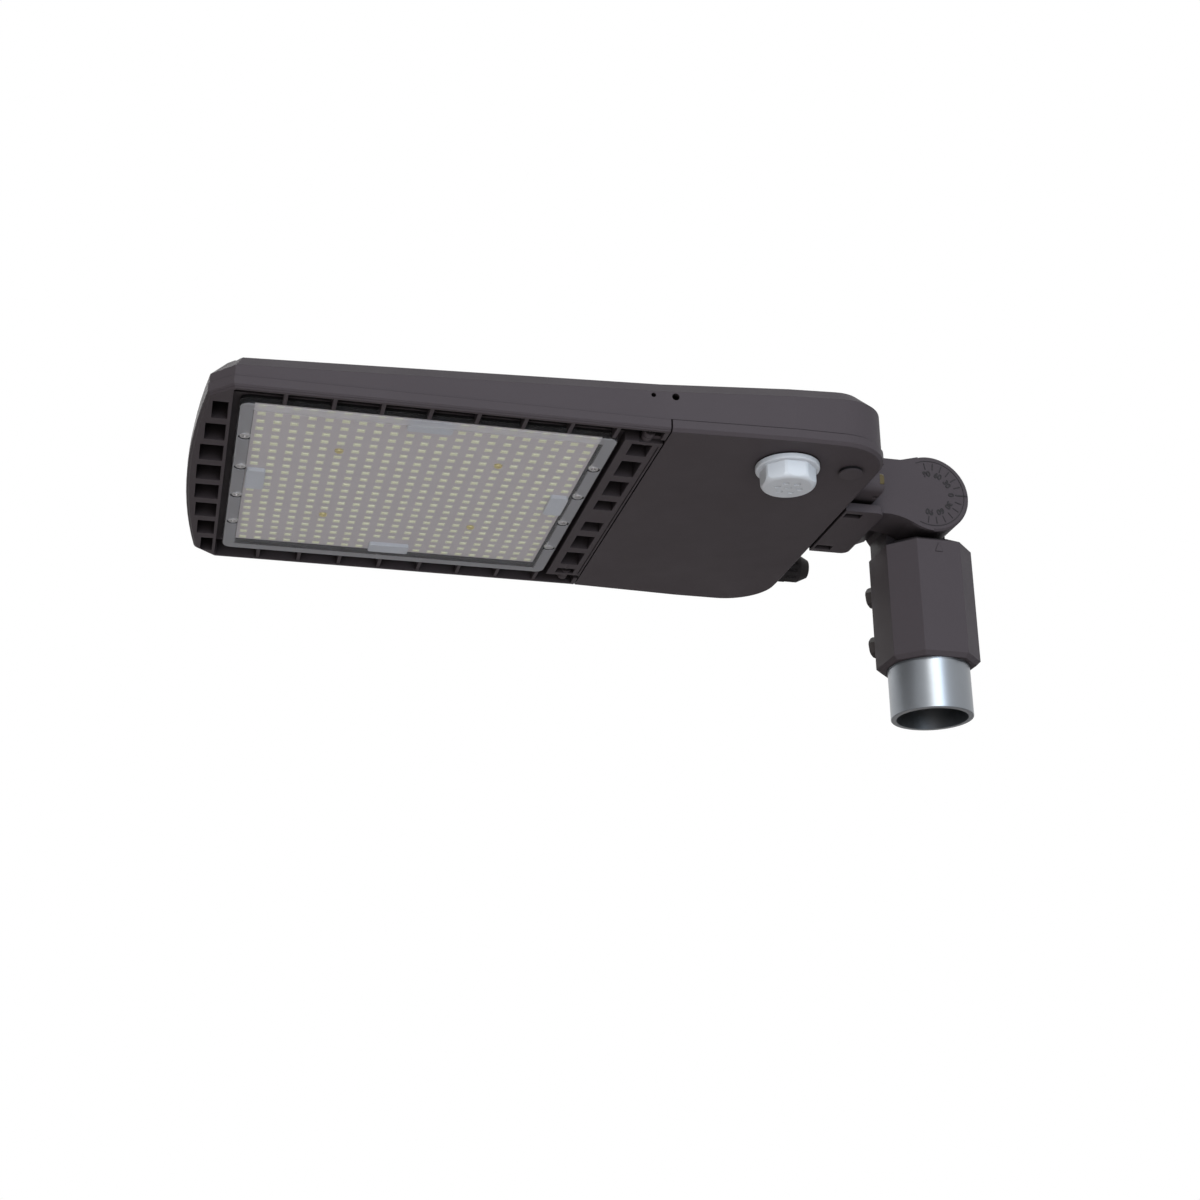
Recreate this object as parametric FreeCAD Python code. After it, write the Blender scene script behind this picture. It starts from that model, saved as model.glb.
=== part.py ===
import FreeCAD, Part
import math
import os

from FreeCAD import Vector

# Pole-mounted area light on a slip fitter. Millimetres, +Z up.
# X runs along the light from its nose (-X) to the pole, Y across it.
# The origin is the centre of the tenon's free lower end, on the pole's axis.

# ---- tenon stub and slip fitter ----
tenon_od = 60.3
tenon_wall = 3.9
tenon_exposed = 38.0
tenon_inserted = 66.0
tenon_play = 0.05
tenon_rim_break = 0.4
tenon_line_width = 0.8
tenon_line_depth = 0.5
tenon_line_drop = 1.6
fitter_across = 68.4
fitter_facet = 34.0
fitter_height = 90.0
fitter_shoulder_rise = 7.0
fitter_shoulder_run = 12.0
fitter_mouth_break = 3.0
fitter_counterbore_play = 0.8
fitter_land_length = 12.0
fitter_wire_bore_r = 12.0
pointer_width = 6.0
pointer_height = 7.0
pointer_proud = 0.6
pointer_drop = 9.0

# ---- knuckle ----
knuckle_rise = 38.0
knuckle_x = -2.0
knuckle_r = 30.3
knuckle_half_width = 33.8
knuckle_gap = 0.3
knuckle_hollow_r = 21.0
knuckle_hollow_depth = 18.0
knuckle_rim_break = 1.6
neck_inset = 6.0
pivot_bolt_r = 6.0
pivot_bolt_play = 0.06
pivot_head_flat = 19.0
pivot_head_height = 7.5
pivot_thread_depth = 24.0
pivot_washer_r = 12.0
pivot_washer_thickness = 2.5
pivot_spring_washer_r = 10.0
pivot_spring_washer_thickness = 2.6

# ---- set screws ----
set_screw_r = 5.0
set_screw_head_flat = 14.0
set_screw_head_height = 5.6
set_screw_standoff = 1.2
set_screw_low = 25.0
set_screw_pitch = 40.0

# ---- head: outline and levels ----
rear_x = -77.0
bay_length = 158.6
seam_bar = 7.2
cross_bar = 6.2
half_width = 142.5
rear_half_width = 147.5
flare_start = 163.0
flare_end = 73.0
rear_corner_r = 39.0
nose_bow = 9.0
nose_facet_run = 15.0
nose_facet_width = 14.5
underside_above_fitter = 102.0
nose_thickness = 25.6
rear_thickness = 47.3
top_bevel = 11.0
wall = 3.6
lip_height = 8.0
lip_proud = 0.8
lip_break = 2.2

# ---- heat sink, slots, pockets and vents ----
led_zone_front = 24.0
plate_thickness = 5.0
plate_side_gap = 1.5
plate_recess = 6.6
fin_thickness = 2.6
fin_pitch = 12.4
fin_count = 19
top_opening_from_side = 12.5
slot_rib_thickness = 2.6
slot_count = 9
slot_rib_inset = 0.6
slot_end_floor = 10.0
slot_shelf = 9.0
pocket_pitch = 32.4
pocket_shift = 5.2
pocket_length = 24.0
pocket_count = 8
pocket_inner = 21.8
pocket_rim = 5.4
pocket_depth = 13.0
pocket_shallow = 2.0
pocket_flat = 8.0
vent_width = 14.0
vent_spans = (
    (-118.5, -100.5), (-91.2, -66.7), (-57.5, -33.0), (-23.3, -7.2),
    (16.0, 32.5), (43.0, 67.0), (75.8, 100.3), (109.3, 119.0))
groove_from_seam = 3.4
groove_width = 1.0
groove_depth = 0.7
groove_end = 6.0

# ---- lens, board and LEDs ----
lens_length = 249.0
lens_width = 244.0
lens_corner_r = 7.0
lens_window = 2.2
lens_rim_width = 9.0
lens_rim_height = 4.6
lens_front_gap = 4.5
lens_rear_gap = 3.0
gasket_width_x = 9.2
gasket_width_y = 6.8
gasket_side_gap = 0.5
board_margin_x = 10.0
board_margin_y = 8.0
board_thickness = 1.6
led_edge_x = 5.0
led_edge_y = 4.0
led_count = 21
led_size_x = 3.5
led_size_y = 2.8
led_height = 0.7
screw_play = 0.2
lens_screw_r = 2.0
lens_screw_head_r = 3.6
lens_screw_head_height = 2.2
lens_screw_bore_r = 4.4
lens_screw_edge = 6.0
lens_screw_pitch = 48.0
lens_screw_depth = 3.4
board_screw_r = 1.5
board_screw_head_r = 2.9
board_screw_head_height = 1.6
board_screw_step = 5
board_screw_depth = 3.4
pad_long = 30.0
pad_short = 13.0
pad_edge_x = 0.5
pad_edge_y = 1.5

# ---- driver bay, hump and door ----
seam_gap = 1.0
seam_gap_above = 0.6
hump_height = 9.0
hump_from_side = 38.5
hump_side_run = 12.0
hump_front_run = 16.0
hump_front_gap = 2.0
hump_rear_gap = 2.0
hump_rear_run = 10.0
door_floor = 3.0
door_rim = 7.0
door_gap = 1.9
door_gasket_width = 2.6
door_gasket_play = 0.3
land_width = 5.4
hinge_from_seam = 12.4
hinge_above = 4.6
hinge_from_side = 17.5
hinge_pin_r = 2.0
hinge_pin_length = 16.0
hinge_pin_play = 0.08
hinge_eye_r = 4.2
hinge_eye_width = 5.0
hinge_side_play = 0.4
hinge_notch_play = 1.0
hinge_screw_r = 1.6
catch_post_y = 84.0
catch_post_size = 6.0
catch_post_height = 18.5
catch_clip_thickness = 0.6
catch_clip_play = 0.3
catch_clip_height = 9.0
catch_from_rear = 6.0

# ---- sensor ----
sensor_from_rear = 67.0
sensor_from_side = 38.5
sensor_flange_r = 22.2
sensor_flange_height = 3.6
sensor_body_r = 19.3
sensor_body_height = 12.5
sensor_body_break = 4.0
sensor_facets = 8
sensor_facet_depth = 1.1
sensor_dimple_r = 2.2
sensor_dimple_depth = 0.8
sensor_dimple_ring_r = 8.0
sensor_dimples = 6
sensor_neck_r = 10.0
sensor_neck_length = 17.0
sensor_nut_flat = 27.0
sensor_nut_height = 5.0
sensor_gasket_thickness = 1.0
sensor_gasket_r = 18.0

# ---- selector and its plug ----
selector_from_rear = 21.0
selector_from_side = 37.5
plug_r = 8.3
plug_head_height = 1.0
plug_seal_r = 7.9
plug_seal_thickness = 1.8
plug_stem_r = 6.8
plug_stem_length = 5.6
plug_wall = 1.6
plug_play = 0.08
selector_length = 18.0
selector_width = 11.0
selector_slot = 10.0
slider_length = 3.6
slider_width = 3.0
slider_proud = 2.6
slider_play = 0.2
slider_travel = 5.6

# ---- arm ----
arm_gasket_thickness = 2.0
arm_gasket_inset = 3.0
arm_centre_y = -6.0
flange_thickness = 22.0
flange_half_width = 60.0
flange_low = 10.0
flange_high = 44.5
flange_corner_r = 7.0
arm_top_rise = 25.3
arm_low_rise = 5.9
arm_end_from_rear = 33.0
arm_wall = 4.5
arm_bolt_half = 45.0
arm_bolt_rise = 22.0
arm_seat_depth = 4.0
arm_notch_half = 8.0
arm_tool_r = 12.0
arm_tool_reach = 16.0
arm_bolt_r = 4.0
arm_bolt_flat = 13.0
arm_bolt_head = 5.5
arm_bolt_depth = 9.0
arm_washer_r = 8.0
arm_washer_thickness = 1.6
arm_boss_r = 6.0
arm_slot_length = 13.0
arm_slot_width = 7.0
arm_slot_half = 30.5
ledge_thickness = 6.6
ledge_half_width = 39.0
ledge_door_gap = 0.3
ledge_end_from_rear = 31.5
ledge_corner_r = 6.0
arm_disc_gap = 1.0
arm_slope_run = 16.0
arm_slope_rise = 12.5
arm_sweep_mid_run = 14.0
arm_sweep_mid_drop = 0.8
arm_sweep_run = 26.0
arm_sweep_drop = 5.2
arm_blend_rise = 1.5
arm_crest_run = 9.0
arm_fairing_run = 23.0
wire_bore_r = 9.0

# ---- cable gland ----
gland_from_side = 38.5
gland_rise = 16.4
gland_thread_r = 6.0
gland_pad_r = 12.4
gland_pad_proud = 1.5
gland_boss_depth = 11.0
gland_hex_flat = 22.0
gland_hex_height = 6.0
gland_nut_r = 11.4
gland_nut_height = 11.5
gland_nut_nose_r = 7.4
gland_nut_nose = 8.0
gland_grip_r = 1.1
gland_seal_r = 4.2
gland_seal_recess = 0.8
gland_locknut_flat = 18.0
gland_locknut_height = 4.0

# ---- driver and electrics ----
tray_thickness = 1.5
tray_level = 38.0
tray_front_gap = 8.0
tray_rear_gap = 10.0
tray_half_width = 86.0
post_r = 5.0
post_inset = 9.0
tray_screw_r = 2.0
tray_screw_head_r = 3.8
tray_screw_head_height = 2.4
driver_length = 122.0
driver_width = 68.0
driver_height = 31.0
driver_y = -3.0
driver_cap = 3.0
driver_foot = 4.0
driver_foot_thickness = 1.2
surge_length = 52.0
surge_width = 28.0
surge_height = 22.0
surge_y = 57.0
terminal_length = 46.0
terminal_width = 17.0
terminal_height = 18.0
terminal_y = -62.0
terminal_ways = 5
lead_r = 1.1
lead_pitch = 4.0
lead_bore_r = 4.4
lead_rise = 21.0
lead_duct_wall = 2.4
lead_shaft_half = 3.0
lead_bend_r = 6.0
grommet_flange_r = 6.4
grommet_flange = 1.4
grommet_wall = 0.9
earth_screw_r = 2.5
earth_head_r = 4.6
earth_head_height = 2.6
earth_boss_r = 5.0

# ---- levels and places that follow from these sizes ----
fitter_bottom = tenon_exposed
fitter_top = fitter_bottom + fitter_height
knuckle_z = fitter_top + knuckle_rise
underside = fitter_bottom + underside_above_fitter
lip_top = underside + lip_height
seam_x = rear_x - bay_length
vent_rear_x = seam_x - seam_bar
vent_front_x = vent_rear_x - vent_width
led_rear_x = vent_front_x - cross_bar
led_front_x = led_rear_x - lens_rear_gap - lens_length - lens_front_gap
nose_x = led_front_x - led_zone_front
slope = (rear_thickness - nose_thickness) / (rear_x - nose_x)
plate_half_width = lens_width / 2 + plate_side_gap
top_opening_half_width = half_width - top_opening_from_side
hump_half_width = half_width - hump_from_side
bay_front_x = seam_x - seam_gap
bay_rear_x = rear_x - wall
plate_bottom = underside + plate_recess
plate_top = plate_bottom + plate_thickness
lens_front_x = led_front_x + lens_front_gap
lens_mid_x = lens_front_x + lens_length / 2
board_bottom = plate_bottom - board_thickness
board_length = lens_length - 2 * board_margin_x
board_width = lens_width - 2 * board_margin_y
led_pitch_x = (board_length - 2 * led_edge_x) / (led_count - 1)
led_pitch_y = (board_width - 2 * led_edge_y) / (led_count - 1)
hinge_x = seam_x - hinge_from_seam
hinge_z = underside + hinge_above
hinge_y = half_width - hinge_from_side
sensor_x = rear_x - sensor_from_rear
sensor_y = sensor_from_side - rear_half_width
selector_x = rear_x - selector_from_rear
selector_y = selector_from_side - rear_half_width
flange_x = rear_x + arm_gasket_thickness
arm_end_x = rear_x + arm_end_from_rear
arm_bolt_z = underside + arm_bolt_rise
arm_low = underside + arm_low_rise
gland_z = underside + gland_rise
gland_y = rear_half_width - gland_from_side
gland_seat_x = rear_x + gland_pad_proud
mouth_level = lip_top + door_gap
ledge_top = mouth_level + wall
land_inner = wall + land_width
tray_bottom = underside + tray_level
tray_top = tray_bottom + tray_thickness
UP = Vector(0, 0, 1)
ALONG = Vector(1, 0, 0)
ACROSS = Vector(0, 1, 0)
FAR_UP = 400.0
FAR_SIDE = 300.0
SHARP_CORNERS = 2


def top_z(x):
    """Height of the sloping top plane above the frame's floor at x."""
    return underside + nose_thickness + slope * (x - nose_x)


def box(x0, x1, y0, y1, z0, z1):
    return Part.makeBox(x1 - x0, y1 - y0, z1 - z0, Vector(x0, y0, z0))


def rod(r, start, direction, length):
    return Part.makeCylinder(r, length, start, direction)


def ring(r_out, r_in, start, direction, length):
    return rod(r_out, start, direction, length).cut(rod(r_in, start, direction, length))


def joined(first, *others):
    solid = first
    for other in others:
        solid = solid.fuse(other)
    return solid.removeSplitter()


def less(first, *others):
    return first.cut(Part.makeCompound(list(others)))


def hexagon(flat, start, direction, height):
    """Hexagonal prism, across flats, standing on start along direction."""
    r = flat / math.sqrt(3.0)
    corners = [Vector(r * math.cos(k * math.pi / 3), r * math.sin(k * math.pi / 3), 0) for k in range(7)]
    prism = Part.Face(Part.makePolygon(corners)).extrude(Vector(0, 0, height))
    prism.Placement = FreeCAD.Placement(start, FreeCAD.Rotation(UP, direction))
    return prism


def bolt(flat, head_height, r, length, start, direction):
    """Hexagon bolt: its head stands on start against direction, its shank runs along it."""
    head = hexagon(flat, start, direction * -1, head_height)
    dome = Part.makeCone(flat * 0.75, flat * 0.46, head_height * 1.3, start, direction * -1)
    return joined(head.common(dome), rod(r, start, direction, length))


def pan_screw(head_r, head_height, r, length, start, direction):
    """Pan-head screw with a cross recess; start is under its head."""
    head = rod(head_r, start, direction * -1, head_height)
    top = start - direction * head_height
    rim = [edge for edge in head.Edges if abs(edge.CenterOfMass.sub(top).Length) < 0.01]
    head = head.makeFillet(head_height * 0.45, rim[:1])
    screw = joined(head, rod(r, start, direction, length))
    arm = head_r * 0.55
    cut_depth = head_height * 0.5
    cross = joined(
        box(-arm, arm, -head_r * 0.12, head_r * 0.12, 0, cut_depth),
        box(-head_r * 0.12, head_r * 0.12, -arm, arm, 0, cut_depth))
    cross.Placement = FreeCAD.Placement(top, FreeCAD.Rotation(UP, direction))
    return screw.cut(cross)


def rounded_plate(x0, x1, y0, y1, z0, z1, r):
    plate = box(x0, x1, y0, y1, z0, z1)
    return plate.makeFillet(r, upright_edges(plate))


def upright_edges(shape):
    return [e for e in shape.Edges if is_line(e) and abs(edge_direction(e).z) > 0.999]


def is_line(edge):
    return isinstance(edge.Curve, (Part.Line, Part.LineSegment))


def edge_direction(edge):
    way = edge.valueAt(edge.LastParameter) - edge.valueAt(edge.FirstParameter)
    return way.normalize()


def mirrored_pair(shape):
    """The shape and its mirror image across the light's middle plane."""
    return [shape, shape.mirror(Vector(0, 0, 0), ACROSS)]


def save(node, *solids):
    shape = solids[0] if len(solids) == 1 else Part.makeCompound(list(solids))
    shape.exportStep("parts/" + node + ".step")


# ---------------------------------------------------------------- outline of the head
def plan_wire(grow, level):
    """Plan outline of the head: bowed nose, corner facets, flared and rounded rear."""
    bow_half = half_width - nose_facet_width
    bow_x = nose_x + nose_bow
    side_x = bow_x + nose_facet_run
    corner_x = rear_x - rear_corner_r
    corner_y = rear_half_width - rear_corner_r
    bend = rear_corner_r * math.sqrt(0.5)
    right = [
        Vector(bow_x, bow_half, level),
        Vector(side_x, half_width, level),
        Vector(rear_x - flare_start, half_width, level),
        Vector(rear_x - flare_end, rear_half_width, level),
        Vector(corner_x, rear_half_width, level)]
    left = [Vector(p.x, -p.y, p.z) for p in right]
    edges = [Part.Arc(left[0], Vector(nose_x, 0, level), right[0]).toShape()]
    edges += [Part.makeLine(a, b) for a, b in zip(right, right[1:])]
    turn = Vector(corner_x + bend, corner_y + bend, level)
    rear = Vector(rear_x, corner_y, level)
    edges.append(Part.Arc(right[-1], turn, rear).toShape())
    edges.append(Part.makeLine(rear, Vector(rear.x, -rear.y, level)))
    far_turn = Vector(turn.x, -turn.y, level)
    edges.append(Part.Arc(Vector(rear.x, -rear.y, level), far_turn, left[-1]).toShape())
    edges += [Part.makeLine(b, a) for a, b in zip(left, left[1:])][::-1]
    wire = Part.Wire(Part.__sortEdges__(edges))
    if grow:
        wire = wire.makeOffset2D(grow, SHARP_CORNERS)
    return wire


def plan_prism(grow, low, high):
    return Part.Face(plan_wire(grow, low)).extrude(Vector(0, 0, high - low))


def plan_taper(grow_low, low, grow_high, high):
    """Solid between two levels whose outline changes evenly from one offset to the other."""
    return Part.makeLoft([plan_wire(grow_low, low), plan_wire(grow_high, high)], True, True)


def lip_block():
    """Proud lip round the underside, its lower edge bevelled."""
    bevel_top = underside + lip_break
    straight = plan_prism(lip_proud, bevel_top, lip_top)
    return joined(straight, plan_taper(lip_proud - lip_break, underside, lip_proud, bevel_top))


def wedge_block(inset, drop, bevel, floor):
    """Solid under the sloping top: outline inset, top lowered, top edges bevelled."""
    spare = 3.0
    lid = plan_taper(spare - inset, -bevel - spare, -inset - bevel, 0)
    lid = lid.fuse(plan_prism(spare - inset, -FAR_UP, -bevel - spare))
    hinge = Vector(nose_x, 0, 0)
    lid.rotate(hinge, ACROSS, -math.degrees(math.atan(slope)))
    lid.translate(Vector(0, 0, top_z(nose_x) - drop))
    return plan_prism(-inset, floor, FAR_UP).common(lid).removeSplitter()


def hump_block(inset, floor_drop):
    """Raised roof over the driver bay; inset gives its inside."""
    x_front = bay_front_x + hump_front_gap + inset
    x_back = rear_x - top_bevel - hump_rear_gap - inset
    half = hump_half_width - inset
    rise = hump_height - inset

    def outline(x_a, x_b, half_y, lift):
        corners = [
            Vector(x_a, -half_y, 0), Vector(x_b, -half_y, 0), Vector(x_b, half_y, 0), Vector(x_a, half_y, 0)]
        for corner in corners:
            corner.z = top_z(corner.x) + lift
        return Part.makePolygon(corners + corners[:1])

    foot = outline(x_front, x_back, half, -floor_drop)
    eaves = outline(x_front, x_back, half, 0)
    crown = outline(x_front + hump_front_run, x_back - hump_rear_run, half - hump_side_run, rise)
    return joined(Part.makeLoft([foot, eaves], True, True), Part.makeLoft([eaves, crown], True, True))


# ---------------------------------------------------------------- housing
def slot_span():
    """X ends of the row of air slots and the length of one slot with its rib."""
    start = led_front_x + 1.6
    end = seam_x - 4.0
    return start, end, (end - start) / slot_count


def side_ribs():
    start, end, pitch = slot_span()
    ribs = []
    for k in range(1, slot_count):
        x = start + k * pitch - slot_rib_thickness / 2
        top = top_z(x) - wall - top_bevel
        rib = box(x, x + slot_rib_thickness, plate_half_width - 1, half_width - wall + 1,
                  underside + slot_rib_inset, top)
        ribs += mirrored_pair(rib)
    return ribs


def heat_sink():
    """Plate that carries the LED board, with fins up to the sloping top."""
    x0 = led_front_x - 1
    x1 = led_rear_x + 1
    plate = box(x0, x1, -plate_half_width, plate_half_width, plate_bottom, plate_top)
    profile = Part.makePolygon([
        Vector(x0, 0, plate_top - 1), Vector(x1, 0, plate_top - 1),
        Vector(x1, 0, top_z(x1)), Vector(x0, 0, top_z(x0)), Vector(x0, 0, plate_top - 1)])
    blade = Part.Face(profile).extrude(Vector(0, fin_thickness, 0))
    fins = []
    for k in range(fin_count):
        fin = blade.copy()
        fin.translate(Vector(0, (k - (fin_count - 1) / 2) * fin_pitch - fin_thickness / 2, 0))
        fins.append(fin)
    edge = plate_half_width - fin_thickness
    for y in (-plate_half_width, edge):
        fin = blade.copy()
        fin.translate(Vector(0, y, 0))
        fins.append(fin)
    return [plate] + fins


def nose_pockets():
    """Scoops under the nose, their roofs rising from the near edge to the far edge."""
    cuts = []
    for k in range(pocket_count):
        y = (k - (pocket_count - 1) / 2) * pocket_pitch + pocket_shift
        x_out = nose_x + pocket_rim + nose_bow * (y / (half_width - nose_facet_width)) ** 2
        x_in = nose_x + pocket_inner
        low = underside - 1
        y_near = y - pocket_length / 2
        y_far = y + pocket_length / 2
        deep = underside + pocket_depth
        profile = Part.makePolygon([
            Vector(x_out, y_near, low), Vector(x_out, y_far, low),
            Vector(x_out, y_far, deep), Vector(x_out, y_far - pocket_flat, deep),
            Vector(x_out, y_near, underside + pocket_shallow), Vector(x_out, y_near, low)])
        cuts.append(Part.Face(profile).extrude(Vector(x_in - x_out, 0, 0)))
    return cuts


def vent_cuts():
    return [box(vent_front_x, vent_rear_x, low, high, underside - 1, FAR_UP) for low, high in vent_spans]


def ridge_groove():
    """Fine groove in the bar between the vents and the door."""
    x = seam_x - groove_from_seam
    half = plate_half_width - groove_end
    return box(x, x + groove_width, -half, half, underside - 1, underside + groove_depth)


def make_housing():
    body = wedge_block(0, 0, top_bevel, underside + 1)
    body = joined(body, lip_block(), hump_block(0, 3))
    door_top = lip_top + seam_gap_above
    below_bay = box(seam_x - seam_gap, FAR_SIDE, -FAR_SIDE, FAR_SIDE, underside - 5, door_top)
    inside = wedge_block(wall, wall, top_bevel - 1.5, underside - 2)
    led_room = inside.common(box(led_front_x, led_rear_x, -FAR_SIDE, FAR_SIDE, underside - 5, FAR_UP))
    top_window = box(led_front_x, led_rear_x, -top_opening_half_width, top_opening_half_width,
                     plate_top, FAR_UP)
    bay = inside.common(box(bay_front_x, bay_rear_x, -FAR_SIDE, FAR_SIDE, underside - 5, FAR_UP))
    bay_room = joined(bay, hump_block(wall, 12))
    body = less(body, below_bay, led_room, top_window)
    body = body.cut(bay_room)
    body = joined(body, bay_ledge(), lead_duct(), *(heat_sink() + side_ribs()))
    start, end, pitch = slot_span()
    slot_top = top_z(led_rear_x) - wall - top_bevel
    y_in = plate_half_width
    y_out = half_width - wall
    slot = box(led_rear_x - 1, end - slot_end_floor, y_in, y_out, underside - 1, slot_top)
    shelf = box(led_rear_x - 1, end, y_in, y_out, underside - 1, underside + slot_shelf)
    strip = slot.fuse(shelf)
    web_x = start + (slot_count - 1) * pitch - slot_rib_thickness / 2
    web = box(web_x, web_x + slot_rib_thickness, y_in - 1, y_out + 1, underside + slot_rib_inset, slot_top)
    cuts = nose_pockets() + vent_cuts() + mirrored_pair(strip.cut(web))
    body = less(body, ridge_groove(), *cuts)
    body = body.common(wedge_limit())
    body = joined(body, *(bay_bosses() + hinge_ears()))
    return less(body, *housing_holes())


def wedge_limit():
    """Everything under the roof, so that ribs and posts never stand above it."""
    return joined(wedge_block(0, 0, top_bevel, underside + 1), lip_block(), hump_block(0, 3))


def bay_ledge():
    """Inward ledge round the mouth of the driver bay that meets the door's gasket."""
    outer = plan_prism(-wall / 2, mouth_level, ledge_top)
    outer = outer.common(box(bay_front_x - 1, rear_x, -FAR_SIDE, FAR_SIDE, 0, FAR_UP))
    inner = plan_prism(-land_inner, mouth_level - 1, ledge_top + 1)
    inner = inner.common(box(bay_front_x + land_inner, rear_x - land_inner, -FAR_SIDE, FAR_SIDE, 0, FAR_UP))
    return outer.cut(inner)


def post_places():
    x0 = bay_front_x + tray_front_gap + post_inset
    x1 = bay_rear_x - tray_rear_gap - post_inset
    y = tray_half_width - post_inset
    return [(x, side * y) for x in (x0, x1) for side in (-1, 1)]


def bay_bosses():
    """Posts for the tray, bosses behind the arm bolts and the earth boss."""
    bosses = []
    for x, y in post_places():
        bosses.append(rod(post_r, Vector(x, y, tray_top), UP, top_z(x) + hump_height - 2 - tray_top))
    for y in arm_bolt_places():
        bosses.append(rod(arm_boss_r, Vector(bay_rear_x + 1, y, arm_bolt_z), ALONG * -1, arm_bolt_depth))
    x, y = earth_place()
    bosses.append(rod(earth_boss_r, Vector(x, y, earth_level()), UP, top_z(x) - wall + 1 - earth_level()))
    start = Vector(rear_x - gland_boss_depth, gland_y, gland_z)
    gland_boss = rod(gland_pad_r, start, ALONG, gland_boss_depth + gland_pad_proud)
    bosses.append(gland_boss.common(box(-FAR_SIDE, FAR_SIDE, -FAR_SIDE, FAR_SIDE, mouth_level, FAR_UP)))
    return bosses


def earth_place():
    return bay_rear_x - 30, half_width - wall - 22


def earth_level():
    return tray_bottom - 6


def hinge_ears():
    ears = []
    inner = hinge_eye_width / 2 + hinge_side_play
    reach = hinge_pin_length / 2
    for side in (-1, 1):
        for way in (-1, 1):
            y0 = side * hinge_y + (inner if way > 0 else -reach)
            ear = rod(hinge_eye_r, Vector(hinge_x, y0, hinge_z), ACROSS, reach - inner)
            root = box(hinge_x - hinge_eye_r, hinge_x + hinge_eye_r, y0, y0 + reach - inner,
                       hinge_z, hinge_z + 8)
            ears.append(ear.fuse(root))
    return ears


def hinge_notch(side):
    """Room in the cross wall in which one hook of the door turns."""
    half = hinge_eye_width / 2 + hinge_side_play
    y0 = side * hinge_y - half
    return box(hinge_x - hinge_eye_r - hinge_notch_play, seam_x + 1, y0, y0 + 2 * half,
               underside - 2, hinge_z + hinge_eye_r + hinge_notch_play)


def housing_holes():
    holes = [hinge_notch(-1), hinge_notch(1)]
    for side in (-1, 1):
        start = Vector(hinge_x, side * hinge_y - hinge_pin_length / 2 - 0.2, hinge_z)
        holes.append(rod(hinge_pin_r, start, ACROSS, hinge_pin_length + 0.4))
        outside = Vector(0, side, 0)
        for x, r in hinge_screw_places():
            start = Vector(x, side * (half_width + 2), hinge_screw_level())
            holes.append(rod(r, start, outside * -1, wall + 3))
    for x, y in post_places():
        holes.append(rod(tray_screw_r, Vector(x, y, tray_top - 1), UP, 6))
    for y in arm_bolt_places():
        holes.append(rod(arm_bolt_r, Vector(rear_x + 1, y, arm_bolt_z), ALONG * -1, wall + arm_bolt_depth))
    holes.append(rod(wire_bore_r, Vector(rear_x + 1, 0, knuckle_z), ALONG * -1, wall + 2))
    gland_start = Vector(gland_seat_x + 1, gland_y, gland_z)
    holes.append(rod(gland_thread_r, gland_start, ALONG * -1, gland_boss_depth + 5))
    x, y = earth_place()
    holes.append(rod(earth_screw_r, Vector(x, y, earth_level() - 1), UP, 8))
    for x, y in lens_screw_places():
        holes.append(rod(lens_screw_r, Vector(x, y, plate_bottom - 1), UP, lens_screw_depth + 1.2))
    for x, y in board_screw_places():
        holes.append(rod(board_screw_r, Vector(x, y, plate_bottom - 1), UP, board_screw_depth + 1.2))
    shaft_x = lead_drop_x() - lead_bend_r
    holes.append(rod(lead_bore_r, Vector(shaft_x, 0, lead_level()), ALONG, bay_front_x + 2 - shaft_x))
    holes.append(box(shaft_x - lead_shaft_half, shaft_x + lead_shaft_half, -lead_bore_r, lead_bore_r,
                     plate_bottom - 1, lead_level() + lead_bore_r * 0.5))
    return holes


def hinge_screw_places():
    return ((hinge_x, hinge_screw_r), (hinge_x + 15.2, hinge_screw_r + 0.9))


def hinge_screw_level():
    return underside + 25.4


def lead_level():
    return underside + lead_rise


def lead_drop_x():
    return led_rear_x - 15


def lead_duct():
    """Closed duct for the LED leads over the middle of the cross wall and the plate."""
    x0 = lead_drop_x() - lead_bend_r - lead_shaft_half - lead_duct_wall
    half = lead_bore_r + lead_duct_wall
    return box(x0, bay_front_x, -half, half, plate_top - 1, lead_level() + half)


# ---------------------------------------------------------------- lens side
def lens_screw_places():
    places = []
    for x in (lens_front_x + lens_screw_edge, lens_front_x + lens_length - lens_screw_edge):
        for k in range(4):
            places.append((x, (k - 1.5) * lens_screw_pitch))
    return places


def board_screw_places():
    reach_x = board_screw_step * led_pitch_x
    reach_y = board_screw_step * led_pitch_y
    return [(lens_mid_x + side * reach_x, way * reach_y) for side in (-1, 1) for way in (-1, 1)]


def make_lens():
    x0 = lens_front_x
    x1 = x0 + lens_length
    half = lens_width / 2
    cover = rounded_plate(x0, x1, -half, half, underside, underside + lens_rim_height, lens_corner_r)
    low_rim = [e for e in cover.Edges if abs(e.BoundBox.ZMax - underside) < 0.01]
    cover = cover.makeChamfer(1.2, low_rim)
    rim = lens_rim_width
    well = rounded_plate(x0 + rim, x1 - rim, -half + rim, half - rim, underside + lens_window,
                         underside + lens_rim_height + 1, 2.0)
    cuts = [well]
    for x, y in lens_screw_places():
        cuts.append(rod(lens_screw_bore_r, Vector(x, y, underside - 1), UP, 1 + lens_screw_head_height))
        cuts.append(rod(lens_screw_r + screw_play, Vector(x, y, underside), UP, lens_rim_height + 1))
    return less(cover, *cuts)


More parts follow.
